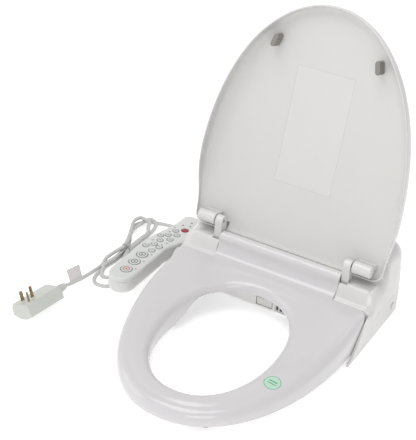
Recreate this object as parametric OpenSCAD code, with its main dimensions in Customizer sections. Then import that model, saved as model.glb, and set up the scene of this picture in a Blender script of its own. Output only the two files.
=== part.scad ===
/* [Seat and lid] */
// Width of the seat ring
seat_w = 374; // [350:1:380]
// Distance from the fixing-bolt line to the front tip of the seat
seat_reach = 462; // [440:1:480]
// Width of the opening in the seat
opening_w = 204; // [180:1:216]
// Width of the ring at its front, from the tip back to the edge of the opening
opening_front = 52; // [47:1:72]
// Distance from the bolt line to the rear edge of the opening
opening_rear = 130; // [124:1:150]
// Height of the seat surface at its front
seat_front_h = 36; // [33:1:38]
// Height of the seat surface where it meets the shoulders
seat_rear_h = 69; // [62:1:72]
// Height of the seat's lower edge above the bowl
seat_lift = 9; // [7:0.5:12]
// Wall of the seat and lid mouldings
skin_t = 3; // [2.4:0.2:4]
// Width of the lid
lid_w = 388; // [384:1:396]
// Length of the lid from its pivot to the tip
lid_len = 418; // [405:1:430]
// Depth of the lid's skirt
lid_depth = 27; // [22:1:32]
// Rise of the lid's outer face in the middle
lid_crown = 8; // [4:1:12]
// Angle that the open lid turns through when it closes
lid_swing = 119; // [112:1:120]
// Slope of the closed lid
lid_slope = 13; // [12.5:0.5:14]

/* [Body] */
// Width of the body
body_w = 384; // [382:1:392]
// Distance from the bolt line to the back of the body
body_back = 75; // [68:1:90]
// Height of the hump behind the lid
body_h = 140; // [136:1:142]
// Height of the parting line between the base and the cover
part_z = 44; // [38:1:48]
// Wall of the body mouldings
wall = 2.6; // [2.2:0.2:3.2]
// Gap between the bowl and the base, filled by the pads
pad_lift = 1.2; // [0.8:0.2:2]
// Spacing of the two fixing bolts
bolt_pitch = 155; // [140:1:170]
// Diameter of the hole for a fixing bolt
bolt_hole = 8.4; // [8:0.1:10.4]

/* [Hinges] */
// Distance of the lid pivot in front of the bolt line
lid_pivot_y = 54; // [53:0.5:56]
// Height of the lid pivot
lid_pivot_z = 120; // [119:0.5:122]
// Distance of the seat pivot in front of the bolt line
seat_pivot_y = 59; // [58:0.5:60]
// Height of the seat pivot
seat_pivot_z = 91; // [90:0.5:92]
// Distance between the inner faces of the two hinge posts
post_gap = 239; // [230:1:244]
// Thickness of a hinge post
post_t = 13.5; // [12:0.5:15]
// Radius of the lid knuckles
knuckle_r = 11; // [10:0.5:12]
// Radius of the seat's hinge barrel
barrel_r = 12; // [11:0.5:12.5]
// Radius of a damper body
damper_r = 6.5; // [6:0.5:7]
// Radius of a damper shaft
shaft_r = 3.5; // [3:0.5:4]
// Running clearance of a shaft in its bore
fit = 0.05; // [0.03:0.01:0.1]
// Clearance between loose pieces
gap = 0.4; // [0.3:0.1:0.6]

/* [Control arm] */
// Distance from the bolt line to the arm's front tip
arm_reach = 231; // [220:1:240]
// Width of the arm
arm_w = 50; // [46:1:54]
// Distance from the middle of the body to the arm's centre line
arm_x = 236; // [234:1:244]
// Height of the arm's underside
arm_low = 17; // [12:1:22]
// Height of the arm's top face
arm_top = 52; // [50:1:58]
// Diameter of the three large buttons
big_button = 20; // [16:1:21]
// Spacing of the large buttons
big_pitch = 27.5; // [26:0.5:30]
// Diameter of the small buttons
small_button = 9.6; // [8:0.2:10.4]
// How far a button stands out of the fascia
button_proud = 1.2; // [0.9:0.1:2]
// Travel of a button
button_travel = 0.8; // [0.5:0.1:1]

/* [Spray and dryer] */
// Diameter of a spray wand
wand_d = 10; // [9:0.5:11]
// Distance that a wand slides out
wand_travel = 66; // [55:1:68]
// Slope of the wands
wand_slope = 6; // [4:1:7]
// Spacing of the two wands
wand_pitch = 16.5; // [15.5:0.5:18]
// Distance of the wands' middle line from the middle of the body
wand_x = -5; // [-8:1:-2]
// Number of slats in the air outlet
vent_slats = 5; // [4:1:7]

/* [Supply] */
// Outer diameter of the water inlet's thread
inlet_d = 20.95; // [20:0.05:21]
// Diameter of the mains cord
cord_d = 7; // [6:0.5:8]

/* [Hidden] */
$fn = 48;

white = "#e6e4e3";
inner_white = "#dcdad8";
rubber = "#8f8a84";
dark = "#3b3d40";
steel = "#b9bcc0";
brass = "#a98d52";
board = "#2f6b45";
lamp_red = "#c22a22";

// Places along the body, behind (+) or in front (-) of the bolt line
lid_y = -lid_pivot_y;
seat_y = -seat_pivot_y;
shoulder_y = -91;
nose_y = -99;
back_y = body_back;
// Half widths
body_x = body_w / 2;
seat_x = seat_w / 2;
post_in = post_gap / 2;
post_out = post_in + post_t;
neck_x = post_in - 1.2;
trough_x = post_in - 0.5;
post_r = knuckle_r - 1;
lid_rise = 25;
lid_rear_reach = 20;
saddle_z = lid_pivot_z - 30;
cradle_r = sqrt(pow(lid_rear_reach, 2) + pow(lid_rise, 2)) + 2.5;
hump_y = lid_y + cradle_r;
shelf_z = 57;

// ---------- functions and modules that several pieces share ----------

function mix(a, b, t) = a + (b - a) * t;
function smooth(t) = let (u = min(max(t, 0), 1)) u * u * (3 - 2 * u);
function mirrored(right) = concat(right, [for (i = [len(right) - 2:-1:1]) [-right[i].x, right[i].y]]);
function toward(p, c, d) = p + (c - p) * d / norm(c - p);
function turned(ring) = [for (i = [len(ring) - 1:-1:0]) ring[i]];
function at_z(ring, z) = [for (p = ring) [p.x, p.y, z]];

// A solid through rings of points that run anticlockwise, from the lowest ring up
module skin(rings, closed = false) {
    n = len(rings[0]);
    m = len(rings);
    sides = [for (j = [0:closed ? m - 1 : m - 2], i = [0:n - 1])
        let (k = (j + 1) % m, a = j * n + i, b = j * n + (i + 1) % n, c = k * n + (i + 1) % n, d = k * n + i)
        each [[a, d, c], [a, c, b]]];
    caps = closed ? [] : [[for (i = [0:n - 1]) i], [for (i = [n - 1:-1:0]) (m - 1) * n + i]];
    polyhedron([for (r = rings) each r], concat(sides, caps), convexity = 8);
}

// A bar along X between two places, from a profile drawn with Y across and Z up
module bar_x(x0, x1) {
    translate([x0, 0, 0]) rotate([90, 0, 90]) linear_extrude(x1 - x0) children();
}

// A round pin along X
module pin_x(x0, x1, y, z, r) {
    translate([x0, y, z]) rotate([0, 90, 0]) cylinder(h = x1 - x0, r = r);
}

// A box between two corners
module block(a, b) {
    translate(a) cube(b - a);
}

module both_sides() {
    children();
    mirror([1, 0, 0]) children();
}

// ---------- seat ----------

seat_wide_y = -130;
seat_corner = 18;
open_mid_y = -262;
seat_rim = 17;
seat_lip = 14;

function seat_edge() = mirrored(concat(
    [for (a = [0:4.5:90]) [seat_x * pow(sin(a), 2 / 2.12),
        seat_wide_y - (seat_reach + seat_wide_y) * pow(max(cos(a), 0), 2 / 2.25)]],
    [for (a = [0:30:90]) [seat_x - seat_corner + seat_corner * cos(a),
        shoulder_y - seat_corner + seat_corner * sin(a)]],
    [for (x = [trough_x + 18, trough_x + 4, trough_x, 84, 42, 0]) [x, shoulder_y]]));

// The point of the opening's edge that faces a point of the outer edge
function open_point(p) = let (
    d = [p.x, p.y - open_mid_y] / norm([p.x, p.y - open_mid_y]),
    along = d.y < 0 ? seat_reach - opening_front + open_mid_y : -open_mid_y - opening_rear,
    r = pow(pow(abs(d.x) * 2 / opening_w, 2.15) + pow(abs(d.y) / along, 2.15), -1 / 2.15))
    [r * d.x, open_mid_y + r * d.y];

// Height of the seat's crown at a place along the body
function crown_z(y) = mix(seat_front_h, seat_rear_h, min(max((y + seat_reach - 22) / 344, 0), 1));

// Where the seat passes over the body its lower edge is high, and elsewhere it is near the bowl
function outer_low(p) = p.y > shoulder_y - 1 && abs(p.x) <= trough_x + 1 ? shelf_z + 4 : seat_lift;
function inner_low(q) = mix(seat_lift + 7, 46, smooth((q.y + 236) / 56));

// One closed section through the ring, as distance from the outer edge and height
function ring_section(p, q) = let (
    w = norm(q - p), y = (p.y + q.y) / 2,
    ro = mix(seat_rim, 5, smooth((p.y + 128) / 34)), ri = seat_lip,
    zo = crown_z(p.y) - 1.4, zi = crown_z(q.y) - 1.4,
    lo = outer_low(p), li = inner_low(q), t = skin_t)
    concat(
        [[min(2.6, ro / 4), lo], [0.4, min(lo + 6, zo - ro)]],
        [for (a = [0:22.5:90]) [ro * (1 - cos(a)), zo - ro * (1 - sin(a))]],
        [[w * 0.5, crown_z(y)]],
        [for (a = [90:-22.5:0]) [w - ri * (1 - cos(a)), zi - ri * (1 - sin(a))]],
        [[w - 0.3, li], [w - t, li]],
        [for (a = [0:45:90]) [w - t - (ri - t) * (1 - cos(a)), zi - t - (ri - t) * (1 - sin(a))]],
        [for (a = [90:-45:0]) [t + (ro - t) * (1 - cos(a)), zo - t - (ro - t) * (1 - sin(a))]],
        [[min(2.6, ro / 4) + t, lo]]);

module seat_top() {
    edge = seat_edge();
    color(white) skin([for (p = edge) let (q = open_point(p), s = (q - p) / norm(q - p))
        [for (k = turned(ring_section(p, q))) [p.x + s.x * k[0], p.y + s.y * k[0], k[1]]]], closed = true);
}

// Flat plate that closes the ring from below, with clips left out
module seat_bottom() {
    edge = seat_edge();
    color(white) translate([0, 0, seat_lift + 0.4]) linear_extrude(2.6) difference() {
        polygon([for (p = edge) toward(p, open_point(p), skin_t + 3)]);
        polygon([for (p = edge) toward(open_point(p), p, skin_t + 0.6)]);
        translate([-trough_x - 3, -236]) square([2 * trough_x + 6, 200]);
    }
}

// Heating foil glued under the crown, drawn as a band that follows the ring
module seat_heater() {
    e = seat_edge();
    edge = [for (i = [0:len(e) - 1]) let (p = e[(i + len(e) / 2) % len(e)]) if (p.y < -150) p];
    color(steel) skin([for (p = edge) let (q = open_point(p), w = norm(q - p), s = (q - p) / w,
        z = min(crown_z(p.y), crown_z(q.y)) - 1.4 - skin_t)
        [for (k = [[w - seat_lip - 3, z - 0.9], [w - seat_lip - 3, z - 0.3], [seat_rim + 3, z - 0.3],
            [seat_rim + 3, z - 0.9]]) [p.x + s.x * k[0], p.y + s.y * k[0], k[1]]]]);
}

neck_front = shoulder_y + 0.4;
neck_low = crown_z(shoulder_y) - 2;
neck_t = 3.4;

// The sweep from the ring's surface up to the front of the hinge barrel
function neck_sweep(grow) = [for (a = [0:9:90])
    [neck_front + (seat_y - barrel_r - neck_front + grow) * sin(a),
     seat_pivot_z - (seat_pivot_z - neck_low + grow) * cos(a)]];

// Hinge carrier: a swept plate that ends in the barrel, with a front wall and ribs
module seat_neck() {
    back_line = [for (i = [10:-1:0]) neck_sweep(neck_t)[i]];
    color(white) difference() {
        union() {
            bar_x(-neck_x, neck_x) union() {
                polygon(concat(neck_sweep(0), back_line));
                translate([neck_front, shelf_z + 5.4]) square([neck_t, neck_low - neck_t - shelf_z - 4.4]);
            }
            pin_x(-neck_x, neck_x, seat_y, seat_pivot_z, barrel_r);
            for (x = [-78, -26, 26, 78]) bar_x(x - 1.3, x + 1.3)
                polygon(concat([[neck_front + 1, shelf_z + 6], [seat_y, seat_pivot_z - barrel_r + 1],
                    [seat_y, seat_pivot_z]], [for (i = [10:-1:1]) neck_sweep(neck_t / 2)[i]],
                    [[neck_front + 1, neck_low - neck_t / 2]]));
        }
        both_sides() pin_x(neck_x - damper_len, neck_x + 1, seat_y, seat_pivot_z, damper_r + fit);
    }
}

damper_len = 58;

// Soft-close dampers in the ends of the barrel, with their shafts in the posts
module seat_dampers() {
    color(dark) both_sides() {
        pin_x(neck_x - damper_len + 0.3, neck_x - 0.6, seat_y, seat_pivot_z, damper_r);
        pin_x(neck_x - 1, post_in + post_t - 2, seat_y, seat_pivot_z, shaft_r);
    }
}

// Distance of the front buffers behind the tip of the ring
front_buffer_in = 34;

// Rubber buffers that stand on the bowl
module seat_buffers() {
    color(rubber) both_sides() for (p = [[58, front_buffer_in - seat_reach, 14], [148, -190, 62]])
        translate([p.x, p.y, 0]) rotate(p[2]) {
            linear_extrude(seat_lift + 0.4) union() {
                translate([-9, 0]) circle(6);
                translate([9, 0]) circle(6);
                square([18, 12], center = true);
            }
        }
}

// ---------- lid, drawn flat about its pivot and then turned open ----------

lid_x = lid_w / 2;
lid_out = lid_rise;
lid_in = lid_out - skin_t;
lid_rear = lid_rear_reach;
lid_lip = 13;
lid_corner = 18;
lid_mid = [0, -185];

module opened() {
    translate([0, lid_y, lid_pivot_z]) rotate([-(lid_swing - lid_slope), 0, 0]) children();
}

function lid_edge() = mirrored(concat(
    [for (a = [0:4.5:90]) [lid_x * pow(sin(a), 2 / 2.03),
        -90 - (lid_len - 90) * pow(max(cos(a), 0), 2 / 2.15)]],
    [for (v = [64, 40, 18]) [lid_x - 9 * smooth((90 - v) / 90), -v]],
    [for (a = [0:30:90]) [lid_x - 9 - lid_corner + lid_corner * cos(a),
        lid_rear - lid_corner + lid_corner * sin(a)]],
    [for (x = [post_out + 10, post_out, post_in, 80, 40, 0]) [x, lid_rear]]));

// The skirt is deepest at the flanks and short along the rear edge
function skirt_w(p) = let (v = -p.y)
    mix(lid_out - lid_depth + 8 * smooth((v - lid_len + 88) / 88), lid_out - lid_lip, smooth((130 - v) / 110));

function lid_level(edge, d, up, share) = [for (p = edge) let (q = toward(p, lid_mid, d))
    [q.x, q.y, mix(skirt_w(p), lid_out, share) + up]];
function lid_dome(edge, f, up) = [for (p = edge) let (q = lid_mid + (p - lid_mid) * f)
    [q.x, q.y, lid_out + lid_crown * (1 - f * f / 0.8) + up]];

module lid_form() {
    e = lid_edge();
    t = skin_t;
    skin([lid_dome(e, 0.25, -t), lid_dome(e, 0.5, -t), lid_dome(e, 0.74, -t),
        lid_level(e, 20, -t, 1), lid_level(e, 12, -t - 0.8, 1), lid_level(e, 7, -t - 2.6, 1),
        lid_level(e, 4.4, -t - 2, 0.85), lid_level(e, t + 0.4, 0, 0.2), lid_level(e, t, 0, 0),
        lid_level(e, 0.6, 0, 0), lid_level(e, 0, 1, 0.1), lid_level(e, 0.3, 0, 0.6), lid_level(e, 1.6, -2, 0.9),
        lid_level(e, 4.2, -2.2, 1), lid_level(e, 9, -0.7, 1), lid_level(e, 17, 0, 1),
        lid_dome(e, 0.74, 0), lid_dome(e, 0.5, 0), lid_dome(e, 0.25, 0)]);
}

module lid_shell() {
    color(white) opened() difference() {
        lid_form();
        both_sides() block([post_in - 0.9, 5, -1], [post_out + 0.9, lid_rear + 5, lid_out + 5]);
    }
}

knuckle_in = post_out + 2.4;
knuckle_out = knuckle_in + 34;

// Hinge knuckles outboard of the posts, bored for the dampers
module lid_knuckles() {
    color(white) opened() both_sides() difference() {
        union() {
            pin_x(knuckle_in, knuckle_out, 0, 0, knuckle_r);
            block([knuckle_in, -13, knuckle_r / 2], [knuckle_out, -1, lid_in - gap]);
        }
        pin_x(knuckle_in - 1, knuckle_out - 3, 0, 0, damper_r + fit);
    }
}

module lid_dampers() {
    color(dark) opened() both_sides() {
        pin_x(knuckle_in + 0.5, knuckle_out - 3.4, 0, 0, damper_r);
        pin_x(post_in + 2, knuckle_in + 1, 0, 0, shaft_r);
    }
}

buffer_x = 96;
buffer_v = 338;
buffer_pad = 15;
buffer_h = 7.6;

// Rubber buffers that the closed lid rests on, on raised pads
module lid_buffers() {
    color(rubber) opened() both_sides()
        translate([buffer_x, -buffer_v, lid_in - buffer_h - buffer_pad]) rotate(-14)
            linear_extrude(buffer_h + buffer_pad - gap) union() {
                translate([0, -7]) circle(4.6);
                translate([0, 7]) circle(4.6);
                square([9.2, 14], center = true);
            }
}

// ---------- hinge posts ----------

post_low = pad_lift + wall + 0.6;

module hinge_post() {
    color(white) difference() {
        bar_x(post_in, post_out) union() {
            translate([lid_y, lid_pivot_z]) circle(post_r);
            translate([lid_y - post_r, post_low]) square([2 * post_r, lid_pivot_z - post_low]);
        }
        pin_x(post_in - 1, post_out + 1, lid_y, lid_pivot_z, shaft_r + fit);
        pin_x(post_in - 1, post_out + 1, seat_y, seat_pivot_z, shaft_r + fit);
    }
}

module hinge_post_left() {
    mirror([1, 0, 0]) hinge_post();
}

module hinge_post_right() {
    hinge_post();
}

// ---------- body ----------

rear_corner = 48;
shoulder_r = 24;
wing_reach = 75;

function body_half(y) = body_x - rear_corner + rear_corner
    * sqrt(1 - pow(min(max((y - back_y + rear_corner) / rear_corner, 0), 0.999), 2));

// Places and heights of the cover's cross-sections, from the shoulders over the saddle to the hump
function cover_line() = concat(
    [for (a = [0:30:90]) [shoulder_y + 0.6 + 6 * (1 - cos(a)), 60 + 6 * sin(a)]],
    [for (t = [0.2:0.2:1]) [mix(shoulder_y + 6.6, -66, t), mix(66, saddle_z, smooth(t))]],
    [for (a = [-60:15:0]) [lid_y + cradle_r * cos(a), lid_pivot_z + cradle_r * sin(a)]],
    [for (a = [0:30:90]) [hump_y + 1.4 + 6 * (1 - cos(a)), body_h - 6 + 6 * sin(a)]],
    [for (y = [10, back_y - rear_corner]) [y, body_h - 8 * smooth((y - hump_y) / 90)]],
    [for (a = [25:25:75]) [back_y - rear_corner + rear_corner * sin(a), body_h - 6 - 26 * (1 - cos(a))]],
    [[back_y, body_h - 46]]);

// The cover's outer form, shrunk all round by e
module cover_form(e) {
    skin([for (s = cover_line()) let (
        y = s.x + e * (1 - 2 * smooth((s.x - hump_y - 10) / (back_y - hump_y - 12))), h = s.y - e, x = body_half(s.x) - e,
        r = min(shoulder_r, (h - part_z) * 0.7), z0 = part_z - e)
        concat([[-x, y, z0]],
            [for (a = [0:22.5:90]) let (z = h - r * (1 - sin(a)))
                [-x + r * (1 - cos(a)) + 0.05 * (z - z0), y, z]],
            [for (a = [90:-22.5:0]) let (z = h - r * (1 - sin(a)))
                [x - r * (1 - cos(a)) - 0.05 * (z - z0), y, z]],
            [[x, y, z0]])]);
}

// The room that the seat's neck moves in, grown by e
module trough(e) {
    bar_x(-trough_x - e, trough_x + e) polygon([[shoulder_y - 9, shelf_z + 4.6 - e], [-79, shelf_z + 4.6 - e],
        [-70, 70 - e], [seat_y + barrel_r + 2.5 + e, 70 - e], [seat_y + barrel_r + 2.5 + e, saddle_z - 4],
        [seat_y + barrel_r + 7.5, saddle_z + 1], [lid_y + 30, 200], [shoulder_y - 9, 200]]);
}

module post_slots(e) {
    both_sides() block([post_in - 0.7 - e, lid_y - post_r - 0.3 - e, part_z - 2],
        [post_out + 0.3 + e, lid_y + post_r + 0.3 + e, 200]);
}

module top_cover() {
    color(white) difference() {
        cover_form(0);
        trough(0);
        post_slots(0);
        difference() {
            cover_form(wall);
            trough(wall);
        }
    }
}

function body_plan(e) = let (r = rear_corner - e, cx = body_x - rear_corner, cy = back_y - rear_corner)
    concat([[-body_x + e, shoulder_y + 0.6 + e], [body_x - e, shoulder_y + 0.6 + e]],
        [for (a = [0:7.5:90]) [cx + r * cos(a), cy + r * sin(a)]],
        [for (a = [90:7.5:180]) [-cx + r * cos(a), cy + r * sin(a)]]);

plate_x = 96;
plate_wing = 10;
plate_front = -44;
plate_h = 6.4;
plate_lip = 3;
base_t = wall - 0.4;
floor_z = pad_lift + base_t + 0.2;
boss_places = [[172, -74], [172, 30], [112, 62], [-172, -74], [-172, 30], [-112, 62]];

// Side wings of the base that wrap the seat's flanks
module wing() {
    bar_x(body_x - 4.4, body_x) polygon(concat(
        [[shoulder_y + 3, pad_lift], [shoulder_y + 3, part_z - 0.6], [shoulder_y + 0.2, part_z - 0.6]],
        [for (t = [0:0.1:1]) [mix(shoulder_y + 0.2, shoulder_y - wing_reach, t), mix(59, 7, smooth(t))]],
        [[shoulder_y - wing_reach - 2, pad_lift]]));
}

module base_shell() {
    color(white) difference() {
        union() {
            difference() {
                translate([0, 0, pad_lift]) linear_extrude(part_z - 0.3 - pad_lift) polygon(body_plan(0));
                translate([0, 0, pad_lift + base_t]) linear_extrude(part_z) polygon(body_plan(wall));
            }
            both_sides() wing();
            // Hood over the mounting plate, and the step that its latch holds
            block([-plate_x - plate_wing - 3, plate_front - 3, pad_lift + base_t - 0.5],
                [plate_x + plate_wing + 3, back_y - 3, plate_h + 3]);
            for (p = boss_places) translate([p.x, p.y, pad_lift + 1])
                cylinder(h = part_z - pad_lift - 2, r = 4.6);
        }
        block([-plate_x - 0.5, plate_front - 0.5, 0], [plate_x + 0.5, back_y + 1, plate_h + gap]);
        block([-plate_x - plate_wing - 0.5, plate_front - 0.5, plate_lip],
            [plate_x + plate_wing + 0.5, back_y + 1, plate_h + gap]);
        for (p = boss_places) translate([p.x, p.y, -1]) {
            cylinder(h = part_z + 2, r = 1.6 + fit);
            cylinder(h = 1 + pad_lift + 1.9, r = 3.8);
        }
        for (p = pad_places) translate([p.x, p.y, 0]) cylinder(h = pad_lift + 1, r = 9 + fit);
        // Front opening for the nose, and holes for the release button, the inlet and the cord
        block([-trough_x + 1, shoulder_y - 2, pad_lift + base_t], [trough_x - 1, shoulder_y + 6, part_z]);
        pin_x(body_x - 8, body_x + 1, release_y, release_z, release_r + gap);
        pin_x(-body_x - 1, -body_x + 17, inlet_y, inlet_z, inlet_d / 2 + gap);
        pin_x(-body_x - 1, -body_x + 14, gland_y, gland_z, 6 + fit);
        for (y = tenons) block([-body_x - 1, y - 5.2, 23.8], [-body_x + wall + 1, y + 5.2, 38.2]);
    }
}

pad_places = [[150, -60], [-150, -60], [128, 48], [-128, 48]];

module base_pads() {
    color(rubber) for (p = pad_places) translate([p.x, p.y, 0]) cylinder(h = pad_lift + 1, r = 9);
}

// Self-tapping screws from below that hold the cover to the base
module base_screws() {
    color(steel) for (p = boss_places) translate([p.x, p.y, 0.4]) {
        difference() {
            cylinder(h = 2.2, r = 3.4);
            for (a = [0, 90]) rotate(a) translate([-2, -0.5, -1]) cube([4, 1, 2]);
        }
        cylinder(h = part_z - 8, r = 1.6);
    }
}

// ---------- nose, in the opening under the seat ----------

nose_x = trough_x - 4;
port_w = wand_pitch - 2.2;
port_low = 7;
port_high = 22;
vent_x = 35;
vent_w = 38;
vent_low = 5;
vent_high = 19;

module nose_panel() {
    color(white) difference() {
        union() {
            block([-nose_x, nose_y, floor_z], [nose_x, nose_y + 3, shelf_z]);
            block([-nose_x, nose_y, shelf_z - 3], [nose_x, shoulder_y + 0.3, shelf_z]);
            both_sides() block([nose_x - 3, nose_y, floor_z], [nose_x, shoulder_y + 0.3, shelf_z]);
        }
        for (s = [-1, 1]) block([wand_x + s * wand_pitch / 2 - port_w / 2, nose_y - 1, port_low],
            [wand_x + s * wand_pitch / 2 + port_w / 2, nose_y + 5, port_high]);
        block([vent_x - vent_w / 2, nose_y - 1, vent_low], [vent_x + vent_w / 2, nose_y + 5, vent_high]);
    }
}

// Slatted outlet of the warm-air dryer
module air_grille() {
    step = (vent_w - 2) / vent_slats;
    color(white) difference() {
        block([vent_x - vent_w / 2 + 0.3, nose_y + 0.8, vent_low + 0.3],
            [vent_x + vent_w / 2 - 0.3, nose_y + 3, vent_high - 0.3]);
        for (i = [0:vent_slats - 1]) translate([vent_x - vent_w / 2 + 1 + step * i + 1, nose_y, vent_low + 2])
            cube([step - 2, 5, vent_high - vent_low - 4]);
    }
}

// ---------- spray wands ----------

// Length of tube that stays in the guides when the wand is out
wand_held = 19;
wand_len = wand_travel + wand_held;
wand_tip = [nose_y + 3, (port_low + port_high) / 2];

// Frame of a wand: its axis runs back and up from the tip
module along_wand(side) {
    translate([wand_x + side * wand_pitch / 2, wand_tip[0], wand_tip[1]]) rotate([wand_slope - 90, 0, 0])
        children();
}

// A spray tube with a square cap that fills its port
module wand(side) {
    color(inner_white) difference() {
        union() {
            along_wand(side) cylinder(h = wand_len, r = wand_d / 2);
            block([wand_x + side * wand_pitch / 2 - port_w / 2 + gap, nose_y + 0.3, port_low + 0.8],
                [wand_x + side * wand_pitch / 2 + port_w / 2 - gap, nose_y + 4.5, port_high - gap]);
        }
        along_wand(side) translate([0, 0, 5]) cylinder(h = wand_len, r = wand_d / 2 - 1.6);
        for (i = [0:side > 0 ? 2 : 1]) along_wand(side) translate([0, 0, 9 + 4 * i]) rotate([90, 0, 0])
            cylinder(h = wand_d, r = 0.9);
    }
}

module wand_rear() {
    wand(-1);
}

module wand_front() {
    wand(1);
}

// Two guide blocks on the floor of the base that the wands run in
module wand_guides() {
    color(dark) difference() {
        for (g = [[nose_y + 26, floor_z, 30], [nose_y + 74, plate_h + 3.3, 34]])
            block([wand_x - wand_pitch / 2 - 8, g[0], g[1]], [wand_x + wand_pitch / 2 + 8, g[0] + 9, g[2]]);
        for (s = [-1, 1]) along_wand(s) translate([0, 0, 8]) cylinder(h = 120, r = wand_d / 2 + fit);
    }
}

// Stepper motors that drive the wands' racks
module wand_motors() {
    for (s = [-1, 1]) translate([wand_x + s * (wand_pitch / 2 + 21), nose_y + 65, plate_h + 3.3]) {
        color(steel) cylinder(h = 24, r = 11);
        color(dark) translate([0, 0, 23.5]) cylinder(h = 7, r = 4);
    }
}

// ---------- inside: water ----------

tank = [[-58, -8, plate_h + 3.3], [62, 54, 112]];

module water_tank() {
    color(inner_white) difference() {
        union() {
            block(tank[0], tank[1]);
            for (x = [-52, 52]) translate([x, 23, tank[0].z]) cylinder(h = 110, r = 4);
        }
        block(tank[0] + [3, 3, 3], tank[1] - [3, 3, 3]);
        translate([2, 23, 100]) cylinder(h = 30, r = 12 + fit);
        pin_x(-60, -50, valve_y, 38, 4 + fit);
        pin_x(-60, -50, 24, 88, 4 + fit);
    }
}

// Screw-in heater with a sheathed rod and two blade terminals
module tank_heater() {
    color(steel) translate([2, 23, 0]) {
        translate([0, 0, 108]) cylinder(h = 8, r = 12);
        for (x = [-5, 5]) translate([x, 0, 24]) cylinder(h = 85, r = 3);
        block([-8, -3, 24], [8, 3, 30]);
        for (x = [-5, 5]) block([x - 0.5, -3, 115], [x + 0.5, 3, 121]);
    }
}

inlet_y = 47;
inlet_z = 29;
valve_y = 46;
gland_y = 47;
gland_z = 8.6;

// Inlet valve with its coil, on the base behind the nipple
module inlet_valve() {
    color(dark) difference() {
        union() {
            block([-174, valve_y - 9.5, floor_z], [-136, valve_y + 10.5, 44]);
            translate([-154, valve_y, 43]) cylinder(h = 26, r = 10);
            pin_x(-137, -126, valve_y, 26, 5);
        }
        pin_x(-177, -160, inlet_y, inlet_z, 6);
    }
}

// Silicone hoses from the valve to the tank, and from the tank down to the wands' manifold
module water_hoses() {
    color(rubber) {
        pin_x(-125.7, -86, valve_y, 26, 4);
        translate([-86, valve_y, 26]) sphere(r = 4);
        translate([-86, valve_y, 26]) cylinder(h = 12, r = 4);
        translate([-86, valve_y, 38]) sphere(r = 4);
        pin_x(-86, -57, valve_y, 38, 4);
        pin_x(-76, -57, 24, 88, 4);
        translate([-76, 24, 88]) sphere(r = 4);
        translate([-76, 24, 88]) rotate([90, 0, 0]) cylinder(h = 36, r = 4);
        translate([-76, -12, 88]) sphere(r = 4);
        translate([-76, -12, 54]) cylinder(h = 34, r = 4);
    }
}

// Threaded inlet that sticks out of the side, with a hexagon collar. The thread is drawn at its outer size
module inlet_nipple() {
    color(inner_white) difference() {
        union() {
            pin_x(-body_x - 24, -body_x + 8, inlet_y, inlet_z, inlet_d / 2);
            pin_x(-body_x + 7, -body_x + 24, inlet_y, inlet_z, 5.95);
            translate([-body_x - 5.6, inlet_y, inlet_z]) rotate([0, 90, 0])
                cylinder(h = 5.2, r = 13, $fn = 6);
        }
        pin_x(-body_x - 25, -body_x + 25, inlet_y, inlet_z, 4.4);
    }
}

module cord_gland() {
    color(dark) difference() {
        union() {
            pin_x(-body_x - 14, -body_x + 12, gland_y, gland_z, 6);
            pin_x(-body_x - 3, -body_x - 0.3, gland_y, gland_z, 6.9);
        }
        for (i = [0:3]) pin_x(-body_x - 12.8 + 2.4 * i, -body_x - 11.6 + 2.4 * i, gland_y + 7, gland_z, 3);
    }
}

// ---------- inside: dryer and electronics ----------

fan_c = [93, 14, 52];
fan_w = 30;
fan_r = 34;

// Scroll housing: a drum with a square tail that opens to the front
module fan_housing() {
    x0 = fan_c.x - fan_w / 2;
    x1 = fan_c.x + fan_w / 2;
    color(dark) difference() {
        union() {
            pin_x(x0, x1, fan_c.y, fan_c.z, fan_r);
            block([x0, fan_c.y - fan_r, plate_h + 3.3], [x1, fan_c.y, 34]);
        }
        pin_x(x0 + 3, x1 - 3, fan_c.y, fan_c.z, fan_r - 3);
        pin_x(x0 - 1, x0 + 4, fan_c.y, fan_c.z, fan_r - 14);
        pin_x(x1 - 4, x1 + 1, fan_c.y, fan_c.z, 3);
        block([x0 + 3, fan_c.y - fan_r - 1, plate_h + 6.3], [x1 - 3, fan_c.y - 10, 31]);
    }
}

module fan_motor() {
    x1 = fan_c.x + fan_w / 2;
    color(steel) {
        pin_x(x1 + 0.3, x1 + 16, fan_c.y, fan_c.z, 14);
        pin_x(x1 - 22, x1 + 1, fan_c.y, fan_c.z, 2);
        for (z = [-18, 18]) pin_x(x1 + 0.3, x1 + 4, fan_c.y, fan_c.z + z, 3);
        block([x1 + 0.3, fan_c.y - 3, fan_c.z - 18], [x1 + 3.3, fan_c.y + 3, fan_c.z + 18]);
    }
}

// Squirrel-cage wheel on the motor's shaft
module fan_wheel() {
    color(inner_white) translate([fan_c.x - 9, fan_c.y, fan_c.z]) rotate([0, 90, 0]) difference() {
        union() {
            translate([0, 0, 15]) cylinder(h = 2, r = 27);
            translate([0, 0, 3]) cylinder(h = 14, r = 6);
            for (a = [0:18:342]) rotate(a) translate([21, -0.6, 1]) cube([6, 1.2, 15]);
            difference() {
                cylinder(h = 2, r = 27);
                translate([0, 0, -1]) cylinder(h = 4, r = 21);
            }
        }
        translate([0, 0, -5]) cylinder(h = 30, r = 2 + fit);
    }
}

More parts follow.
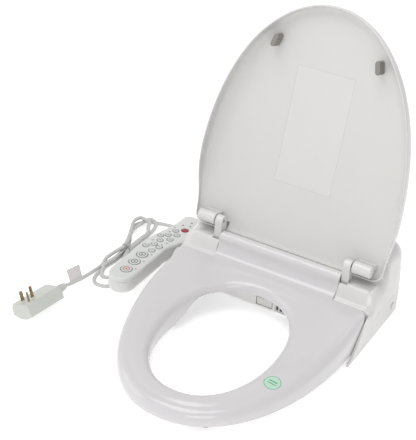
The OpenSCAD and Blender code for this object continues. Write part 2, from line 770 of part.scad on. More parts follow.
// Duct from the fan to the outlet in the nose
module air_duct() {
    x0 = vent_x - vent_w / 2 - 1;
    x1 = vent_x + vent_w / 2 + 1;
    f0 = fan_c.x - fan_w / 2;
    f1 = fan_c.x + fan_w / 2;
    color(inner_white) difference() {
        union() {
            block([x0 - 2, nose_y + 3.3, floor_z], [x1 + 2, -50, 21.4]);
            block([x0 - 2, -62, floor_z], [f1, -50, 33]);
            block([f0, -62, plate_h + 3.3], [f1, fan_c.y - fan_r - 0.3, 33]);
        }
        block([x0, nose_y + 3, floor_z + 2], [x1, -52, 19.4]);
        block([x0, -60, floor_z + 2], [f1 - 2, -52, 31]);
        block([f0 + 2, -60, plate_h + 5.3], [f1 - 2, fan_c.y - fan_r, 31]);
    }
}

// Main board on edge beside the tank, with its parts
module main_board() {
    y = 66;
    color(board) block([70, y - 1.6, plate_h + 3.3], [104, y, 104]);
    color(dark) {
        block([74, y - 14, 20], [96, y - 1.4, 44]);
        block([76, y - 9, 52], [92, y - 1.4, 62]);
        for (z = [72, 88]) translate([86, y - 1.4, z]) rotate([90, 0, 0]) cylinder(h = 12, r = 6);
    }
}

// ---------- mounting plate ----------

slot_run = 22;

// Sheet that is bolted to the bowl and that the seat slides on to
module mounting_plate() {
    color(steel) difference() {
        union() {
            block([-plate_x, plate_front, 0], [plate_x, 44, plate_h]);
            block([-plate_x - plate_wing, plate_front, plate_lip + gap], [plate_x + plate_wing, 40, plate_h]);
        }
        both_sides() {
            for (s = [-1, 1]) translate([bolt_pitch / 2, s * slot_run / 2, -1])
                cylinder(h = plate_h + 2, r = bolt_hole / 2 + 2);
            block([bolt_pitch / 2 - bolt_hole / 2 - 2, -slot_run / 2, -1],
                [bolt_pitch / 2 + bolt_hole / 2 + 2, slot_run / 2, plate_h + 2]);
            block([bolt_pitch / 2 - 10.4, -slot_run / 2 - 10, plate_h - 3.4],
                [bolt_pitch / 2 + 10.4, slot_run / 2 + 10, plate_h + 1]);
        }
        block([-48, -30, plate_h - 2.6], [48, 30, plate_h + 1]);
    }
}

// Eccentric bushes that centre the fixing bolts in the slots
module bolt_bushes() {
    color(dark) both_sides() translate([bolt_pitch / 2, 0, 0]) difference() {
        union() {
            cylinder(h = plate_h - 0.3, r = bolt_hole / 2 + 1.95);
            block([-10, -10, plate_h - 3.4], [10, 10, plate_h - 0.3]);
        }
        translate([0, 0, -1]) cylinder(h = plate_h + 2, r = bolt_hole / 2);
    }
}

release_y = 14;
release_z = 20;
release_r = 7;

release_travel = 4;

// Button in the side with the bar that works the mounting plate's latch
module release_button() {
    color(white) {
        pin_x(body_x - 12, body_x + 1.5, release_y, release_z, release_r);
        pin_x(body_x - 12, body_x - wall - 0.5, release_y, release_z, release_r + 2);
        block([plate_x + plate_wing + 4 + release_travel, release_y - 3, 12], [body_x - 11, release_y + 3, 20]);
    }
}

// ---------- control arm ----------

arm_z = [arm_low, arm_low + 3, arm_low + 9, arm_top - 8];
arm_rear = 26;
arm_mid = [-arm_x, -arm_reach + 27];

// Outline of the arm from above, anticlockwise, pulled in by e
function arm_plan(e) = let (w = arm_w / 2)
    concat(
        [for (a = [180:12:360]) [arm_mid.x + (w - e) * cos(a), arm_mid.y + (27 - e) * sin(a)]],
        [for (t = [0:0.125:1]) [mix(arm_mid.x + w, -body_x - gap, smooth(t)) - e, mix(-104, -44, t)]],
        [[-body_x - gap - e, 2]],
        [for (a = [0:30:90]) [-body_x - gap - e - 8 * (1 - cos(a)), arm_rear - 8 - e + 8 * sin(a)]],
        [for (a = [90:30:180]) [-227 + (16 - e) * cos(a), arm_rear - 16 + (16 - e) * sin(a)]],
        [for (t = [0:0.25:1]) [mix(-243, arm_mid.x - w, smooth(t)) + e, mix(2, -104, t)]]);

module arm_form(low, high) {
    up = low > 7 ? wall : 0;
    skin([at_z(arm_plan(low), arm_z[0] + up), at_z(arm_plan(low - 4.5), arm_z[1] + up),
        at_z(arm_plan(low - 7), arm_z[2]), at_z(arm_plan(low - 6.5), high)]);
}

tenons = [-38, -14];
arm_bosses = [[-236, -183], [-236, -126], [-226, -8]];

module arm_shell() {
    color(white) difference() {
        union() {
            difference() {
                arm_form(7, arm_z[3]);
                arm_form(7 + wall, arm_z[3] + 1);
            }
            for (p = arm_bosses) translate([p.x, p.y, arm_low + 1]) cylinder(h = 14.8, r = 3.4);
            // Tenons that key the arm to the body's flank
            for (y = tenons) block([-body_x - gap - 4, y - 5, 24], [-body_x + wall, y + 5, 38]);
        }
        for (p = arm_bosses) translate([p.x, p.y, arm_low + 6]) cylinder(h = 20, r = 1.2);
    }
}

// Centres of the buttons from above
big_row_y = -168.5;
stop_at = [-234, big_row_y - big_pitch];
wash_at = [-235, -168];
front_wash_at = [-236, big_row_y + big_pitch];
cross_at = [[-247.5, -111], [-223.5, -103], [-229, -120], [-237, -99]];
dry_at = [-235, -82];
small_at = [[-221, -70], [-232, -58], [-243, -67]];
slim_at = [[-228, -38], [-218, -50]];
signal_at = [-214.6, -27];
lamps_at = [[-227, -14], [-213, -10], [-217, 2]];

module arm_fascia() {
    top = arm_top;
    color(white) difference() {
        // A lip that drops into the shell, and a top that steps in to its edge
        for (k = [[wall + 0.8, arm_z[3] - 1.6, arm_z[3] + 1], [0.5, arm_z[3] + 0.3, top - 2.4],
            [1.5, top - 2.5, top - 1], [3, top - 1.1, top + 0.4]])
            translate([0, 0, k[1]]) linear_extrude(k[2] - k[1]) polygon(arm_plan(k[0]));
        translate([0, 0, arm_z[3] - 3]) linear_extrude(top - 3 - arm_z[3] + 3) polygon(arm_plan(6));
        for (p = [stop_at, wash_at, front_wash_at]) translate([p.x, p.y, top - 5])
            cylinder(h = 8, r = big_button / 2 + gap);
        for (i = [0:3]) cross_hole(i, gap);
        for (p = concat([dry_at], small_at, slim_at)) translate([p.x, p.y, top - 5])
            cylinder(h = 8, r = small_button / 2 + gap);
        translate([signal_at.x, signal_at.y, top - 5]) cylinder(h = 8, r = 7.5 + fit);
        for (p = lamps_at) translate([p.x, p.y, top - 5]) cylinder(h = 8, r = 1.6 + fit);
    }
}

// Oval of the four-way group, lying across its direction
module cross_oval(i, grow) {
    c = cross_at[i];
    turn = i < 2 ? 70 : -15;
    translate([c.x, c.y]) rotate(turn) {
        for (s = [-1, 1]) translate([s * 1.4, 0]) circle(4.2 + grow);
        square([2.8, 8.4 + 2 * grow], center = true);
    }
}

module cross_hole(i, grow) {
    translate([0, 0, arm_top - 5]) linear_extrude(8) cross_oval(i, grow);
}

board_z = arm_low + 16.2;
switch_z = board_z + 3.2;
stem_z = switch_z + button_travel + 0.05;
flange_z = arm_top - 4.4;
cap_z = arm_top + 0.4 + button_proud;

// A sprung cap: stem above its switch, flange under the fascia, cap proud of it
module button(p, d) {
    translate([p.x, p.y, 0]) {
        translate([0, 0, stem_z]) cylinder(h = flange_z - stem_z + 0.5, r = 2);
        translate([0, 0, flange_z]) cylinder(h = 1, r = d / 2 + 1);
        translate([0, 0, flange_z + 0.5]) cylinder(h = cap_z - flange_z - 1, r = d / 2);
        translate([0, 0, cap_z - 0.5]) cylinder(h = 0.5, r1 = d / 2, r2 = d / 2 - 0.5);
    }
}

module cross_button(i) {
    c = cross_at[i];
    translate([c.x, c.y, stem_z]) cylinder(h = flange_z - stem_z + 0.5, r = 2);
    translate([0, 0, flange_z]) linear_extrude(1) cross_oval(i, 0.8);
    translate([0, 0, flange_z + 0.5]) linear_extrude(cap_z - flange_z - 0.5)
        cross_oval(i, 0);
}

module button_stop() {
    color(lamp_red) button(stop_at, big_button);
}

module button_wash() {
    color(inner_white) button(wash_at, big_button);
}

module button_front_wash() {
    color(inner_white) button(front_wash_at, big_button);
}

module button_forward() {
    color(inner_white) cross_button(0);
}

module button_back() {
    color(inner_white) cross_button(1);
}

module button_weaker() {
    color(inner_white) cross_button(2);
}

module button_stronger() {
    color(inner_white) cross_button(3);
}

module button_dry() {
    color(inner_white) button(dry_at, small_button);
}

module button_seat_heat() {
    color(inner_white) button(small_at[0], small_button);
}

module button_water_heat() {
    color(inner_white) button(small_at[1], small_button);
}

module button_night_light() {
    color(inner_white) button(small_at[2], small_button);
}

module button_power() {
    color(inner_white) button(slim_at[0], small_button);
}

module button_self_clean() {
    color(inner_white) button(slim_at[1], small_button);
}

// Control board on the arm's bosses, with a tactile switch under each button
module arm_board() {
    color(board) difference() {
        translate([0, 0, board_z]) linear_extrude(1.6) polygon(concat(
            [for (a = [180:30:360]) [arm_mid.x + 20 * cos(a), arm_mid.y + 18 * sin(a)]],
            [[-216, -90], [-204, -44], [-204, 6], [-232, 6], [-252, -140]]));
        for (p = arm_bosses) translate([p.x, p.y, 0]) cylinder(h = 60, r = 1.2);
    }
    color(dark) {
        for (p = concat([stop_at, wash_at, front_wash_at, dry_at], cross_at, small_at, slim_at))
            translate([p.x, p.y, board_z + 1.3]) cylinder(h = switch_z - board_z - 1.3, r = 2.8);
        for (p = lamps_at) translate([p.x, p.y, board_z + 1.3]) cylinder(h = arm_top + 0.7 - board_z - 1.3, r = 1.6);
        translate([signal_at.x, signal_at.y, board_z + 1.3]) cylinder(h = flange_z - board_z - 2, r = 2.6);
    }
    color(steel) for (p = arm_bosses) translate([p.x, p.y, board_z - 8]) {
        cylinder(h = 9, r = 1.2);
        translate([0, 0, 9.3]) cylinder(h = 1.8, r = 2.2);
        cylinder(h = 9.6, r = 1.2);
    }
}

// Dark window of the remote signal
module signal_lens() {
    color(lamp_red) translate([signal_at.x, signal_at.y, arm_top - 3.2]) {
        cylinder(h = 3.8, r = 7.5);
        translate([0, 0, -1]) cylinder(h = 1.2, r = 8.4);
    }
}

// ---------- power cord and plug ----------

plug_c = [-327, -285, 16.2];
plug_len = 80;
plug_roll = 20;

// Route of the cord from the gland to the hank, and from the hank to the plug
hank_route = [[-body_x - 14, gland_y, gland_z], [-218, 46.8, 8], [-238, 46, 5.4], [-262, 43, 4.4],
    [-288, 36, 4.6], [-306, 26, 7], [-316, 16, 9]];
plug_route = [[-311, -104, 9], [-316, -128, 6], [-318, -168, 4.4], [-320.4, -206, 6], [-321, -224, 9],
    [-321.8, -242, 12.6], [plug_c.x + 28 * sin(8), plug_c.y + 28 * cos(8), plug_c.z]];
hank_a = [-322, 7];
hank_b = [-285, -186];
hank_r = 25;
hank_h = 19.5;

function curve(p, n) = concat([for (i = [0:len(p) - 2], s = [0:n - 1]) let (
    a = p[max(i - 1, 0)], b = p[i], c = p[i + 1], d = p[min(i + 2, len(p) - 1)], t = s / n)
    (2 * b + (c - a) * t + (2 * a - 5 * b + 4 * c - d) * t * t + (3 * b - a - 3 * c + d) * t * t * t) / 2],
    [p[len(p) - 1]]);

// A round cord along a route
module tube(route, r) {
    p = curve(route, 3);
    m = len(p) - 1;
    skin([for (i = [0:m]) let (t = p[min(i + 1, m)] - p[max(i - 1, 0)],
        s = cross([0, 0, 1], t) / norm(cross([0, 0, 1], t)), u = cross(t, s) / norm(t))
        [for (a = [0:36:324]) p[i] + r * (cos(a) * s + sin(a) * u)]]);
}

module cord_to_hank() {
    color(inner_white) tube(hank_route, cord_d / 2);
}

module cord_to_plug() {
    color(inner_white) tube(plug_route, cord_d / 2);
}

// Outline of the folded hank, narrowest where it is tied
function hank_plan() = let (d = hank_b - hank_a, l = norm(d), w = [-d.y, d.x] / l, turn = atan2(d.y, d.x))
    concat([for (a = [90:15:270]) hank_a + hank_r * [cos(a + turn), sin(a + turn)]],
        [for (t = [0.1:0.1:0.9]) hank_a + d * t - w * hank_half(t)],
        [for (a = [-90:15:90]) hank_b + hank_r * [cos(a + turn), sin(a + turn)]],
        [for (t = [0.9:-0.1:0.1]) hank_a + d * t + w * hank_half(t)]);

function hank_half(t) = hank_r - 13 * smooth(1.2 - abs(t - 0.5) / 0.28);

module cord_hank() {
    color(inner_white) translate([0, 0, 1.4]) linear_extrude(hank_h) polygon(hank_plan());
}

// Wire tie round the hank's waist
module cord_tie() {
    c = (hank_a + hank_b) / 2;
    color(dark) translate([c.x, c.y, 0]) rotate(atan2(hank_b.y - hank_a.y, hank_b.x - hank_a.x)) difference() {
        block([-4, -14.1, 0.3], [4, 14.1, hank_h + 2.6]);
        block([-5, -12.9, 1.35], [5, 12.9, hank_h + 1.45]);
    }
}

module at_plug() {
    translate(plug_c) rotate(-8) rotate([0, -plug_roll, 0]) children();
}

plug_face = 14;

module plug_shell() {
    color(inner_white) at_plug() difference() {
        union() {
            rotate([90, 0, 0]) linear_extrude(plug_len) polygon([[-23, -8.54], [-8, -14], [8, -14],
                [23, -8.54], [23, 5], [17, plug_face], [-17, plug_face], [-23, 5]]);
            rotate([-90, 0, 0]) {
                cylinder(h = 27.6, r1 = 8.5, r2 = 5);
                for (i = [0:4]) translate([0, 0, 3 + 5 * i]) cylinder(h = 2.2, r = 9 - 0.6 * i);
            }
        }
        for (p = pin_places) translate([p.x, p.y, plug_face - 11.7]) rotate(p[2])
            translate([-3.2, -0.85, 0]) cube([6.4, 1.7, 20]);
    }
}

pin_places = [[0, -48, 90], [-8, -64, 60], [8, -64, 120]];

// Flat pins for a three-pin socket
module plug_pins() {
    color(brass) at_plug() for (p = pin_places) translate([p.x, p.y, plug_face - 11.6]) rotate(p[2])
        translate([-3.15, -0.8, 0]) cube([6.3, 1.6, p.x == 0 ? 31.6 : 28.7]);
}

// Folded paper flag that is wrapped round the cord
module cord_tag() {
    color(inner_white) translate([-321, -224, 9]) rotate([-10, 0, -2]) rotate([0, -32, 0])
        block([-0.5, -18, cord_d / 2 + 0.4], [0.5, 18, 26]);
}

base_shell();
top_cover();
nose_panel();
air_grille();
hinge_post_left();
hinge_post_right();
base_pads();
base_screws();
water_tank();
tank_heater();
inlet_valve();
water_hoses();
main_board();
fan_housing();
fan_motor();
fan_wheel();
air_duct();
wand_guides();
wand_motors();
inlet_nipple();
cord_gland();
arm_shell();
arm_fascia();
arm_board();
signal_lens();
button_stop();
button_wash();
button_front_wash();
button_forward();
button_back();
button_weaker();
button_stronger();
button_dry();
button_seat_heat();
button_water_heat();
button_night_light();
button_power();
button_self_clean();
wand_rear();
wand_front();
mounting_plate();
bolt_bushes();
release_button();
seat_top();
seat_bottom();
seat_neck();
seat_heater();
seat_dampers();
seat_buffers();
lid_shell();
lid_knuckles();
lid_dampers();
lid_buffers();
cord_to_hank();
cord_hank();
cord_tie();
cord_to_plug();
cord_tag();
plug_shell();
plug_pins();
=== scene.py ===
import math

import bmesh
import bpy
import numpy as np
from mathutils import Matrix, Vector


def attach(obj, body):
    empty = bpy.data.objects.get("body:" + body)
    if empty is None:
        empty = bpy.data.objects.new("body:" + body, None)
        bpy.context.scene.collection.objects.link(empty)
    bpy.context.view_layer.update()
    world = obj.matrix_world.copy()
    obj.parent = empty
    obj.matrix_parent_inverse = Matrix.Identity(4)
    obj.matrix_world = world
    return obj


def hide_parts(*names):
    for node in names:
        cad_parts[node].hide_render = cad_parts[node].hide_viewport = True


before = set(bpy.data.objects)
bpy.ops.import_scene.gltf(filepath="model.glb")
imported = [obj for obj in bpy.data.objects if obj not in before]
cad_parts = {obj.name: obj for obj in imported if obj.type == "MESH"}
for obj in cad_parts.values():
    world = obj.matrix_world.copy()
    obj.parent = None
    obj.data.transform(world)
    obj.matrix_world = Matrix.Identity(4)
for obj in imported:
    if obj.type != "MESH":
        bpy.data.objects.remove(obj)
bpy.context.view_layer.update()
scene = bpy.context.scene


# ---------- Camera ----------
# Stands in front of the seat, to its right and above it, and leans a little to one side.
# Its lens is long, so the lid and the ring keep nearly the same scale.

def aim(az, el, roll, where, lens):
    """Camera turned az about Z from +Y and tipped down by el, then rolled by roll, all in degrees."""
    a, e, r = map(math.radians, (az, el, roll))
    ahead = np.array([-math.sin(a) * math.cos(e), math.cos(a) * math.cos(e), -math.sin(e)])
    side = np.array([math.cos(a), math.sin(a), 0.0])
    up = np.cross(side, ahead)
    across = side * math.cos(r) + up * math.sin(r)
    upward = up * math.cos(r) - side * math.sin(r)
    turn = np.eye(4)
    turn[:3, 0], turn[:3, 1], turn[:3, 2], turn[:3, 3] = across, upward, -ahead, where
    data = bpy.data.cameras.new("camera")
    data.lens, data.sensor_width = lens, 36.0
    data.clip_start, data.clip_end = 0.05, 30.0
    camera = bpy.data.objects.new("camera", data)
    camera.matrix_world = Matrix(turn.tolist())
    scene.collection.objects.link(camera)
    scene.camera = camera


aim(28.43, 31.56, 3.49, (0.7738, -1.7654, 1.3065), 103.5)


# ---------- Power cord ----------
# A round PVC cord of 7 mm that leaves the gland, is folded into a tied hank beside the arm,
# and runs on to the plug. It is one curve, soft grey, with a faint sheen along its jacket.

class Wire:
    """The output of a shader node, which can stand in sums, products and comparisons."""

    def __init__(self, finish, out):
        self.finish, self.out = finish, out

    def _do(self, op, *values):
        return self.finish.node("ShaderNodeMath", {"operation": op}, {k: v for k, v in enumerate(values)})

    def __add__(self, other):
        return self._do("ADD", self, other)

    def __sub__(self, other):
        return self._do("SUBTRACT", self, other)

    def __rsub__(self, other):
        return self._do("SUBTRACT", other, self)

    def __mul__(self, other):
        return self._do("MULTIPLY", self, other)

    def __truediv__(self, other):
        return self._do("DIVIDE", self, other)

    def __pow__(self, other):
        return self._do("POWER", self, other)

    def __neg__(self):
        return self._do("MULTIPLY", self, -1.0)

    def __abs__(self):
        return self._do("ABSOLUTE", self)

    def __lt__(self, other):
        return self._do("LESS_THAN", self, other)

    def __gt__(self, other):
        return self._do("GREATER_THAN", self, other)

    def low(self, other):
        """The smaller of two values."""
        return self._do("MINIMUM", self, other)

    def high(self, other):
        """The larger of two values."""
        return self._do("MAXIMUM", self, other)

    def fract(self):
        """What is left after the whole number."""
        return self._do("FRACT", self)

    def ramp(self, a, b):
        """0 below a, 1 above b, and even between them."""
        return self.finish.node("ShaderNodeMapRange", {"clamp": True}, {0: self, 1: a, 2: b, 3: 0.0, 4: 1.0})

    __radd__ = __add__
    __rmul__ = __mul__


class Finish:
    """A material that ends in one Principled shader; its methods add nodes."""

    def __init__(self, name, **fixed):
        self.material = bpy.data.materials.new(name)
        self.material.use_nodes = True
        self.tree = self.material.node_tree
        self.tree.nodes.clear()
        self.shader = self.tree.nodes.new("ShaderNodeBsdfPrincipled")
        end = self.tree.nodes.new("ShaderNodeOutputMaterial")
        self.tree.links.new(self.shader.outputs[0], end.inputs[0])
        self.point = self.node("ShaderNodeTexCoord", out="Object")
        for socket, value in fixed.items():
            self.feed(socket.replace("_", " "), value)

    def node(self, kind, settings=None, values=None, out=0):
        """Add a node; values go to its sockets as links or constants."""
        made = self.tree.nodes.new(kind)
        for key, value in (settings or {}).items():
            setattr(made, key, value)
        for key, value in (values or {}).items():
            if isinstance(value, Wire):
                self.tree.links.new(value.out, made.inputs[key])
            else:
                made.inputs[key].default_value = value
        return Wire(self, made.outputs[out])

    def feed(self, socket, value):
        """Set or link a socket of the shader."""
        if isinstance(value, Wire):
            self.tree.links.new(value.out, self.shader.inputs[socket])
        else:
            if socket.endswith("Color") and len(value) == 3:
                value = (*value, 1.0)
            self.shader.inputs[socket].default_value = value

    def noise(self, scale, detail=2.0, rough=0.5, point=None):
        """Fractal noise from 0 to 1 at a scale per metre."""
        return self.node("ShaderNodeTexNoise", {}, {"Vector": point or self.point, "Scale": scale,
                         "Detail": detail, "Roughness": rough}, out="Fac")

    def parts(self, point=None):
        """The point's x, y and z as three numbers."""
        split = self.tree.nodes.new("ShaderNodeSeparateXYZ")
        self.tree.links.new((point or self.point).out, split.inputs[0])
        return [Wire(self, o) for o in split.outputs]

    def blend(self, a, b, amount):
        """Colour a where amount is 0, and b where it is 1."""
        mixed = self.tree.nodes.new("ShaderNodeMix")
        mixed.data_type = "RGBA"
        for slot, value in ((6, a), (7, b), (0, amount)):
            if isinstance(value, Wire):
                self.tree.links.new(value.out, mixed.inputs[slot])
            else:
                mixed.inputs[slot].default_value = (*value, 1.0) if slot else value
        return Wire(self, mixed.outputs[2])

    def relief(self, height, depth):
        """Bump from a height of 0 to 1 that stands for depth metres."""
        self.feed("Normal", self.node("ShaderNodeBump", {}, {"Height": height, "Distance": depth,
                                                             "Strength": 1.0}, out="Normal"))


def moulded(name, colour, gloss=0.3, grain=0.00002, patch=0.02, **fixed):
    """Moulded plastic: slow drift of tone, finer cloud of wear in the gloss, and the mould's fine grain."""
    f = Finish(name, **fixed)
    drift = f.noise(5.0, 3.0)
    cloud = f.noise(38.0, 5.0, 0.6)
    tone = f.blend([c * (1 - patch) for c in colour], [min(1.0, c * (1 + patch)) for c in colour], drift)
    f.feed("Base Color", f.blend([c * (1 - 1.2 * patch) for c in colour], tone, cloud.ramp(0.2, 0.5)))
    f.feed("Roughness", cloud * 0.08 + (gloss - 0.04))
    f.relief(f.noise(1400.0, 2.0) * 0.6 + f.noise(260.0, 2.0) * 0.4, grain)
    return f


def smooth_line(keys, steps):
    """Points on a line that passes through the keys and turns evenly (Catmull-Rom)."""
    k = np.asarray(keys, float)
    pad = np.vstack([2 * k[0] - k[1], k, 2 * k[-1] - k[-2]])
    a, b, c, d = (pad[i:len(k) - 1 + i, None, :] for i in range(4))
    t = np.linspace(0, 1, steps, endpoint=False)[None, :, None]
    line = (2 * b + (c - a) * t + (2 * a - 5 * b + 4 * c - d) * t ** 2 + (3 * b - a - 3 * c + d) * t ** 3) / 2
    return np.vstack([line.reshape(-1, k.shape[1]), k[-1:]])


hank_ends = np.array([[-322.0, 7.0], [-285.0, -186.0]])
hank_mid = hank_ends.mean(0)
hank_along = (hank_ends[1] - hank_ends[0]) / np.linalg.norm(hank_ends[1] - hank_ends[0])
hank_across = np.array([-hank_along[1], hank_along[0]])


def in_hank(keys):
    """Keys given as (along, across, height) from the hank's middle, as points in the row frame."""
    k = np.asarray(keys, float)
    return np.column_stack([hank_mid + k[:, :1] * hank_along + k[:, 1:2] * hank_across, k[:, 2]])


def turn_of_cord(z, wide, back, fore, rise):
    """One turn: down the left side, round the front fold, up the right side and round the rear fold."""
    r = wide
    return [(-back + 4, -r * 0.62, z), (-back + 22, -r, z), (-62, -17, z), (-36, -8.5, z), (0, -3.9, z),
            (36, -8.5, z), (62, -17, z), (fore - 22, -r, z), (fore - 4, -r * 0.62, z), (fore, 0, z),
            (fore - 4, r * 0.62, z), (fore - 22, r, z), (62, 17, z), (36, 8.5, z), (0, 3.9, z),
            (-36, 8.5, z), (-62, 17, z + rise * 0.5), (-back + 22, r, z + rise * 0.9),
            (-back + 3, r * 0.62, z + rise), (-back - 1, 0, z + rise)]


cord_keys = np.vstack([
    [[-206, 47, 8.6], [-212, 47, 8.4], [-224, 46.6, 6.8], [-238, 45.5, 4.8], [-252, 44, 3.8], [-266, 42, 3.6],
     [-284, 39, 3.6], [-300, 35.5, 3.7]],
    in_hank([(-119, -5, 3.7)] + turn_of_cord(3.7, 21, 116, 119, 7.3) + turn_of_cord(11, 13, 100, 101, 7.2)
            + [(-105, -13, 18.2), (-90, -20.5, 18.2), (-62, -15, 18.2), (-36, -9, 18.2), (0, -4.2, 18.2),
               (24, -11, 18.2), (46, -20.5, 14.5)]),
    [[-316, -152, 5.2], [-318, -172, 4.2], [-319.6, -190, 4.6], [-320.4, -206, 6], [-321, -224, 9],
     [-321.8, -242, 12.6], [-323.1, -257.3, 16.2]]])
cord_line = smooth_line(cord_keys, 6)


def curve_tube(name, line, radius):
    """A bevelled curve along points in millimetres."""
    data = bpy.data.curves.new(name, "CURVE")
    data.dimensions = "3D"
    spline = data.splines.new("POLY")
    spline.points.add(len(line) - 1)
    spline.points.foreach_set("co", np.column_stack([line / 1000, np.ones(len(line))]).ravel())
    data.bevel_depth, data.bevel_resolution, data.use_fill_caps = radius / 1000, 5, True
    made = bpy.data.objects.new(name, data)
    scene.collection.objects.link(made)
    return made


pvc = moulded("cord jacket", (0.545, 0.55, 0.535), 0.42, 0.00003, 0.04)
cord = curve_tube("power_cord", cord_line, 3.5)
cord.data.materials.append(pvc.material)
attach(cord, "main")
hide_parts("cord_to_hank", "cord_hank", "cord_to_plug")


# ---------- Plug ----------
# Moulded in one with its strain relief, with bevelled flanks and two recessed grips.
# Three flat brass pins stand on one face.

def surface(name, grid, ring=True, loop=False, ends=True):
    """Quads through a grid of points in millimetres, rows by columns. ring joins the last column to the
    first, loop joins the last row to the first, and ends closes the first and last rows."""
    rows, cols = grid.shape[:2]
    index = np.arange(rows * cols).reshape(rows, cols)
    near, far = (index, np.roll(index, -1, 0)) if loop else (index[:-1], index[1:])
    if ring:
        quads = np.stack([near, np.roll(near, -1, 1), np.roll(far, -1, 1), far], -1)
    else:
        quads = np.stack([near[:, :-1], near[:, 1:], far[:, 1:], far[:, :-1]], -1)
    faces = quads.reshape(-1, 4).tolist()
    if ends and not loop:
        faces += [index[0, ::-1].tolist(), index[-1].tolist()]
    mesh = bpy.data.meshes.new(name)
    mesh.from_pydata((grid.reshape(-1, 3) / 1000).tolist(), [], faces)
    mesh.validate()
    made = bpy.data.objects.new(name, mesh)
    scene.collection.objects.link(made)
    return made


def soften(obj, angle=40):
    """Smooth shading, with edges sharper than the angle kept."""
    mesh = obj.data
    mesh.polygons.foreach_set("use_smooth", np.ones(len(mesh.polygons), bool))
    mesh.set_sharp_from_angle(angle=math.radians(angle))


def subdivide(obj, levels=2):
    """Round a surface with the same levels in view and render."""
    mod = obj.modifiers.new("round", "SUBSURF")
    mod.levels = mod.render_levels = levels


def edge_break(obj, width, segments=2, angle=32):
    """A small rounded edge wherever two faces meet at more than the angle."""
    mod = obj.modifiers.new("edges", "BEVEL")
    mod.width, mod.segments, mod.limit_method = width / 1000, segments, "ANGLE"
    mod.angle_limit = math.radians(angle)
    mod.harden_normals = False


def baked(obj, cutters=()):
    """The object's mesh with its modifiers applied and the cutters taken away."""
    mesh = bpy.data.meshes.new_from_object(obj.evaluated_get(bpy.context.evaluated_depsgraph_get()))
    old, obj.data = obj.data, mesh
    mesh.name = obj.name
    obj.modifiers.clear()
    bpy.data.meshes.remove(old)
    for c in cutters:
        data = c.data
        bpy.data.objects.remove(c)
        bpy.data.meshes.remove(data)
    return obj


def carve(obj, *cutters, how="DIFFERENCE"):
    """Cut the cutters out of a piece, or join them to it."""
    for c in cutters:
        mod = obj.modifiers.new("cut", "BOOLEAN")
        mod.operation, mod.solver, mod.object = how, "EXACT", c
    bpy.context.view_layer.update()
    return baked(obj, cutters)


def fit_out(obj, body, finish, slot, *nodes):
    """Give a piece its material and its body, and hide the CAD nodes it stands for. slot is not used."""
    obj.data.materials.clear()
    obj.data.materials.append(finish.material)
    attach(obj, body)
    if nodes:
        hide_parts(*nodes)
    return obj


def refined(node, body, finish, slot, edge=0.25, segments=2, angle=32):
    """A merged copy of a CAD solid with its edges broken."""
    bm = bmesh.new()
    bm.from_mesh(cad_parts[node].data)
    bmesh.ops.remove_doubles(bm, verts=bm.verts, dist=2e-6)
    bmesh.ops.dissolve_limit(bm, angle_limit=math.radians(0.6), verts=bm.verts, edges=bm.edges)
    mesh = bpy.data.meshes.new(node + "_form")
    bm.to_mesh(mesh)
    bm.free()
    made = bpy.data.objects.new(node + "_form", mesh)
    scene.collection.objects.link(made)
    if edge:
        edge_break(made, edge, segments, angle)
    soften(made, 35)
    return fit_out(made, body, finish, slot, node)


def posed(points, where, *turns):
    """Points turned by (axis, degrees) from the last to the first, then moved to where."""
    turn = Matrix.Identity(3)
    for axis, degrees in turns:
        turn = turn @ Matrix.Rotation(math.radians(degrees), 3, axis)
    return np.asarray(points, float) @ np.array(turn).T + np.asarray(where, float)


plug_at = (-327, -285, 16.2)
plug_turns = (("Z", -8), ("Y", -20))


def turned_profile(radii, heights, sides=40):
    """A profile of radius and height turned about Z."""
    a = np.linspace(0, 2 * np.pi, sides, endpoint=False)
    r, h = np.asarray(radii, float)[:, None], np.asarray(heights, float)[:, None]
    return np.stack([r * np.cos(a), r * np.sin(a), h + 0 * a], -1)


plug_pvc = moulded("plug shell", (0.57, 0.59, 0.55), 0.3, 0.00003, 0.03)
plug = refined("plug_shell", "main", plug_pvc, "cord_pvc", 1.1, 3, 20)

relief_h = np.arange(0, 28.1, 0.7)
relief_r = 8.4 - relief_h * 0.125 + 0.55 * np.sin(relief_h * 2 * np.pi / 4.6)
relief_r = np.concatenate([[0.3], relief_r.clip(4.2), [0.3]])
relief_h = np.concatenate([[-2.0], relief_h, [28.0]])
relief = surface("plug_relief", posed(posed(turned_profile(relief_r, relief_h), (0, 0, 0), ("X", -90)),
                                      plug_at, *plug_turns))
soften(relief, 70)
fit_out(relief, "main", plug_pvc, "cord_pvc")

brass = Finish("pin brass", Metallic=1.0)
brass_wear = brass.noise(160.0, 4.0, 0.65)
brass.feed("Base Color", brass.blend((0.2, 0.155, 0.09), (0.38, 0.3, 0.18), brass_wear.ramp(0.35, 0.6)))
brass.feed("Roughness", brass_wear * 0.3 + 0.2)
pins = refined("plug_pins", "main", brass, "brass", 0.35, 2)


# ---------- Cord's tie and paper flag ----------
# A grey wire tie holds the hank at its waist. A folded paper flag is wrapped round the cord near
# the plug; it carries only ruled bars.

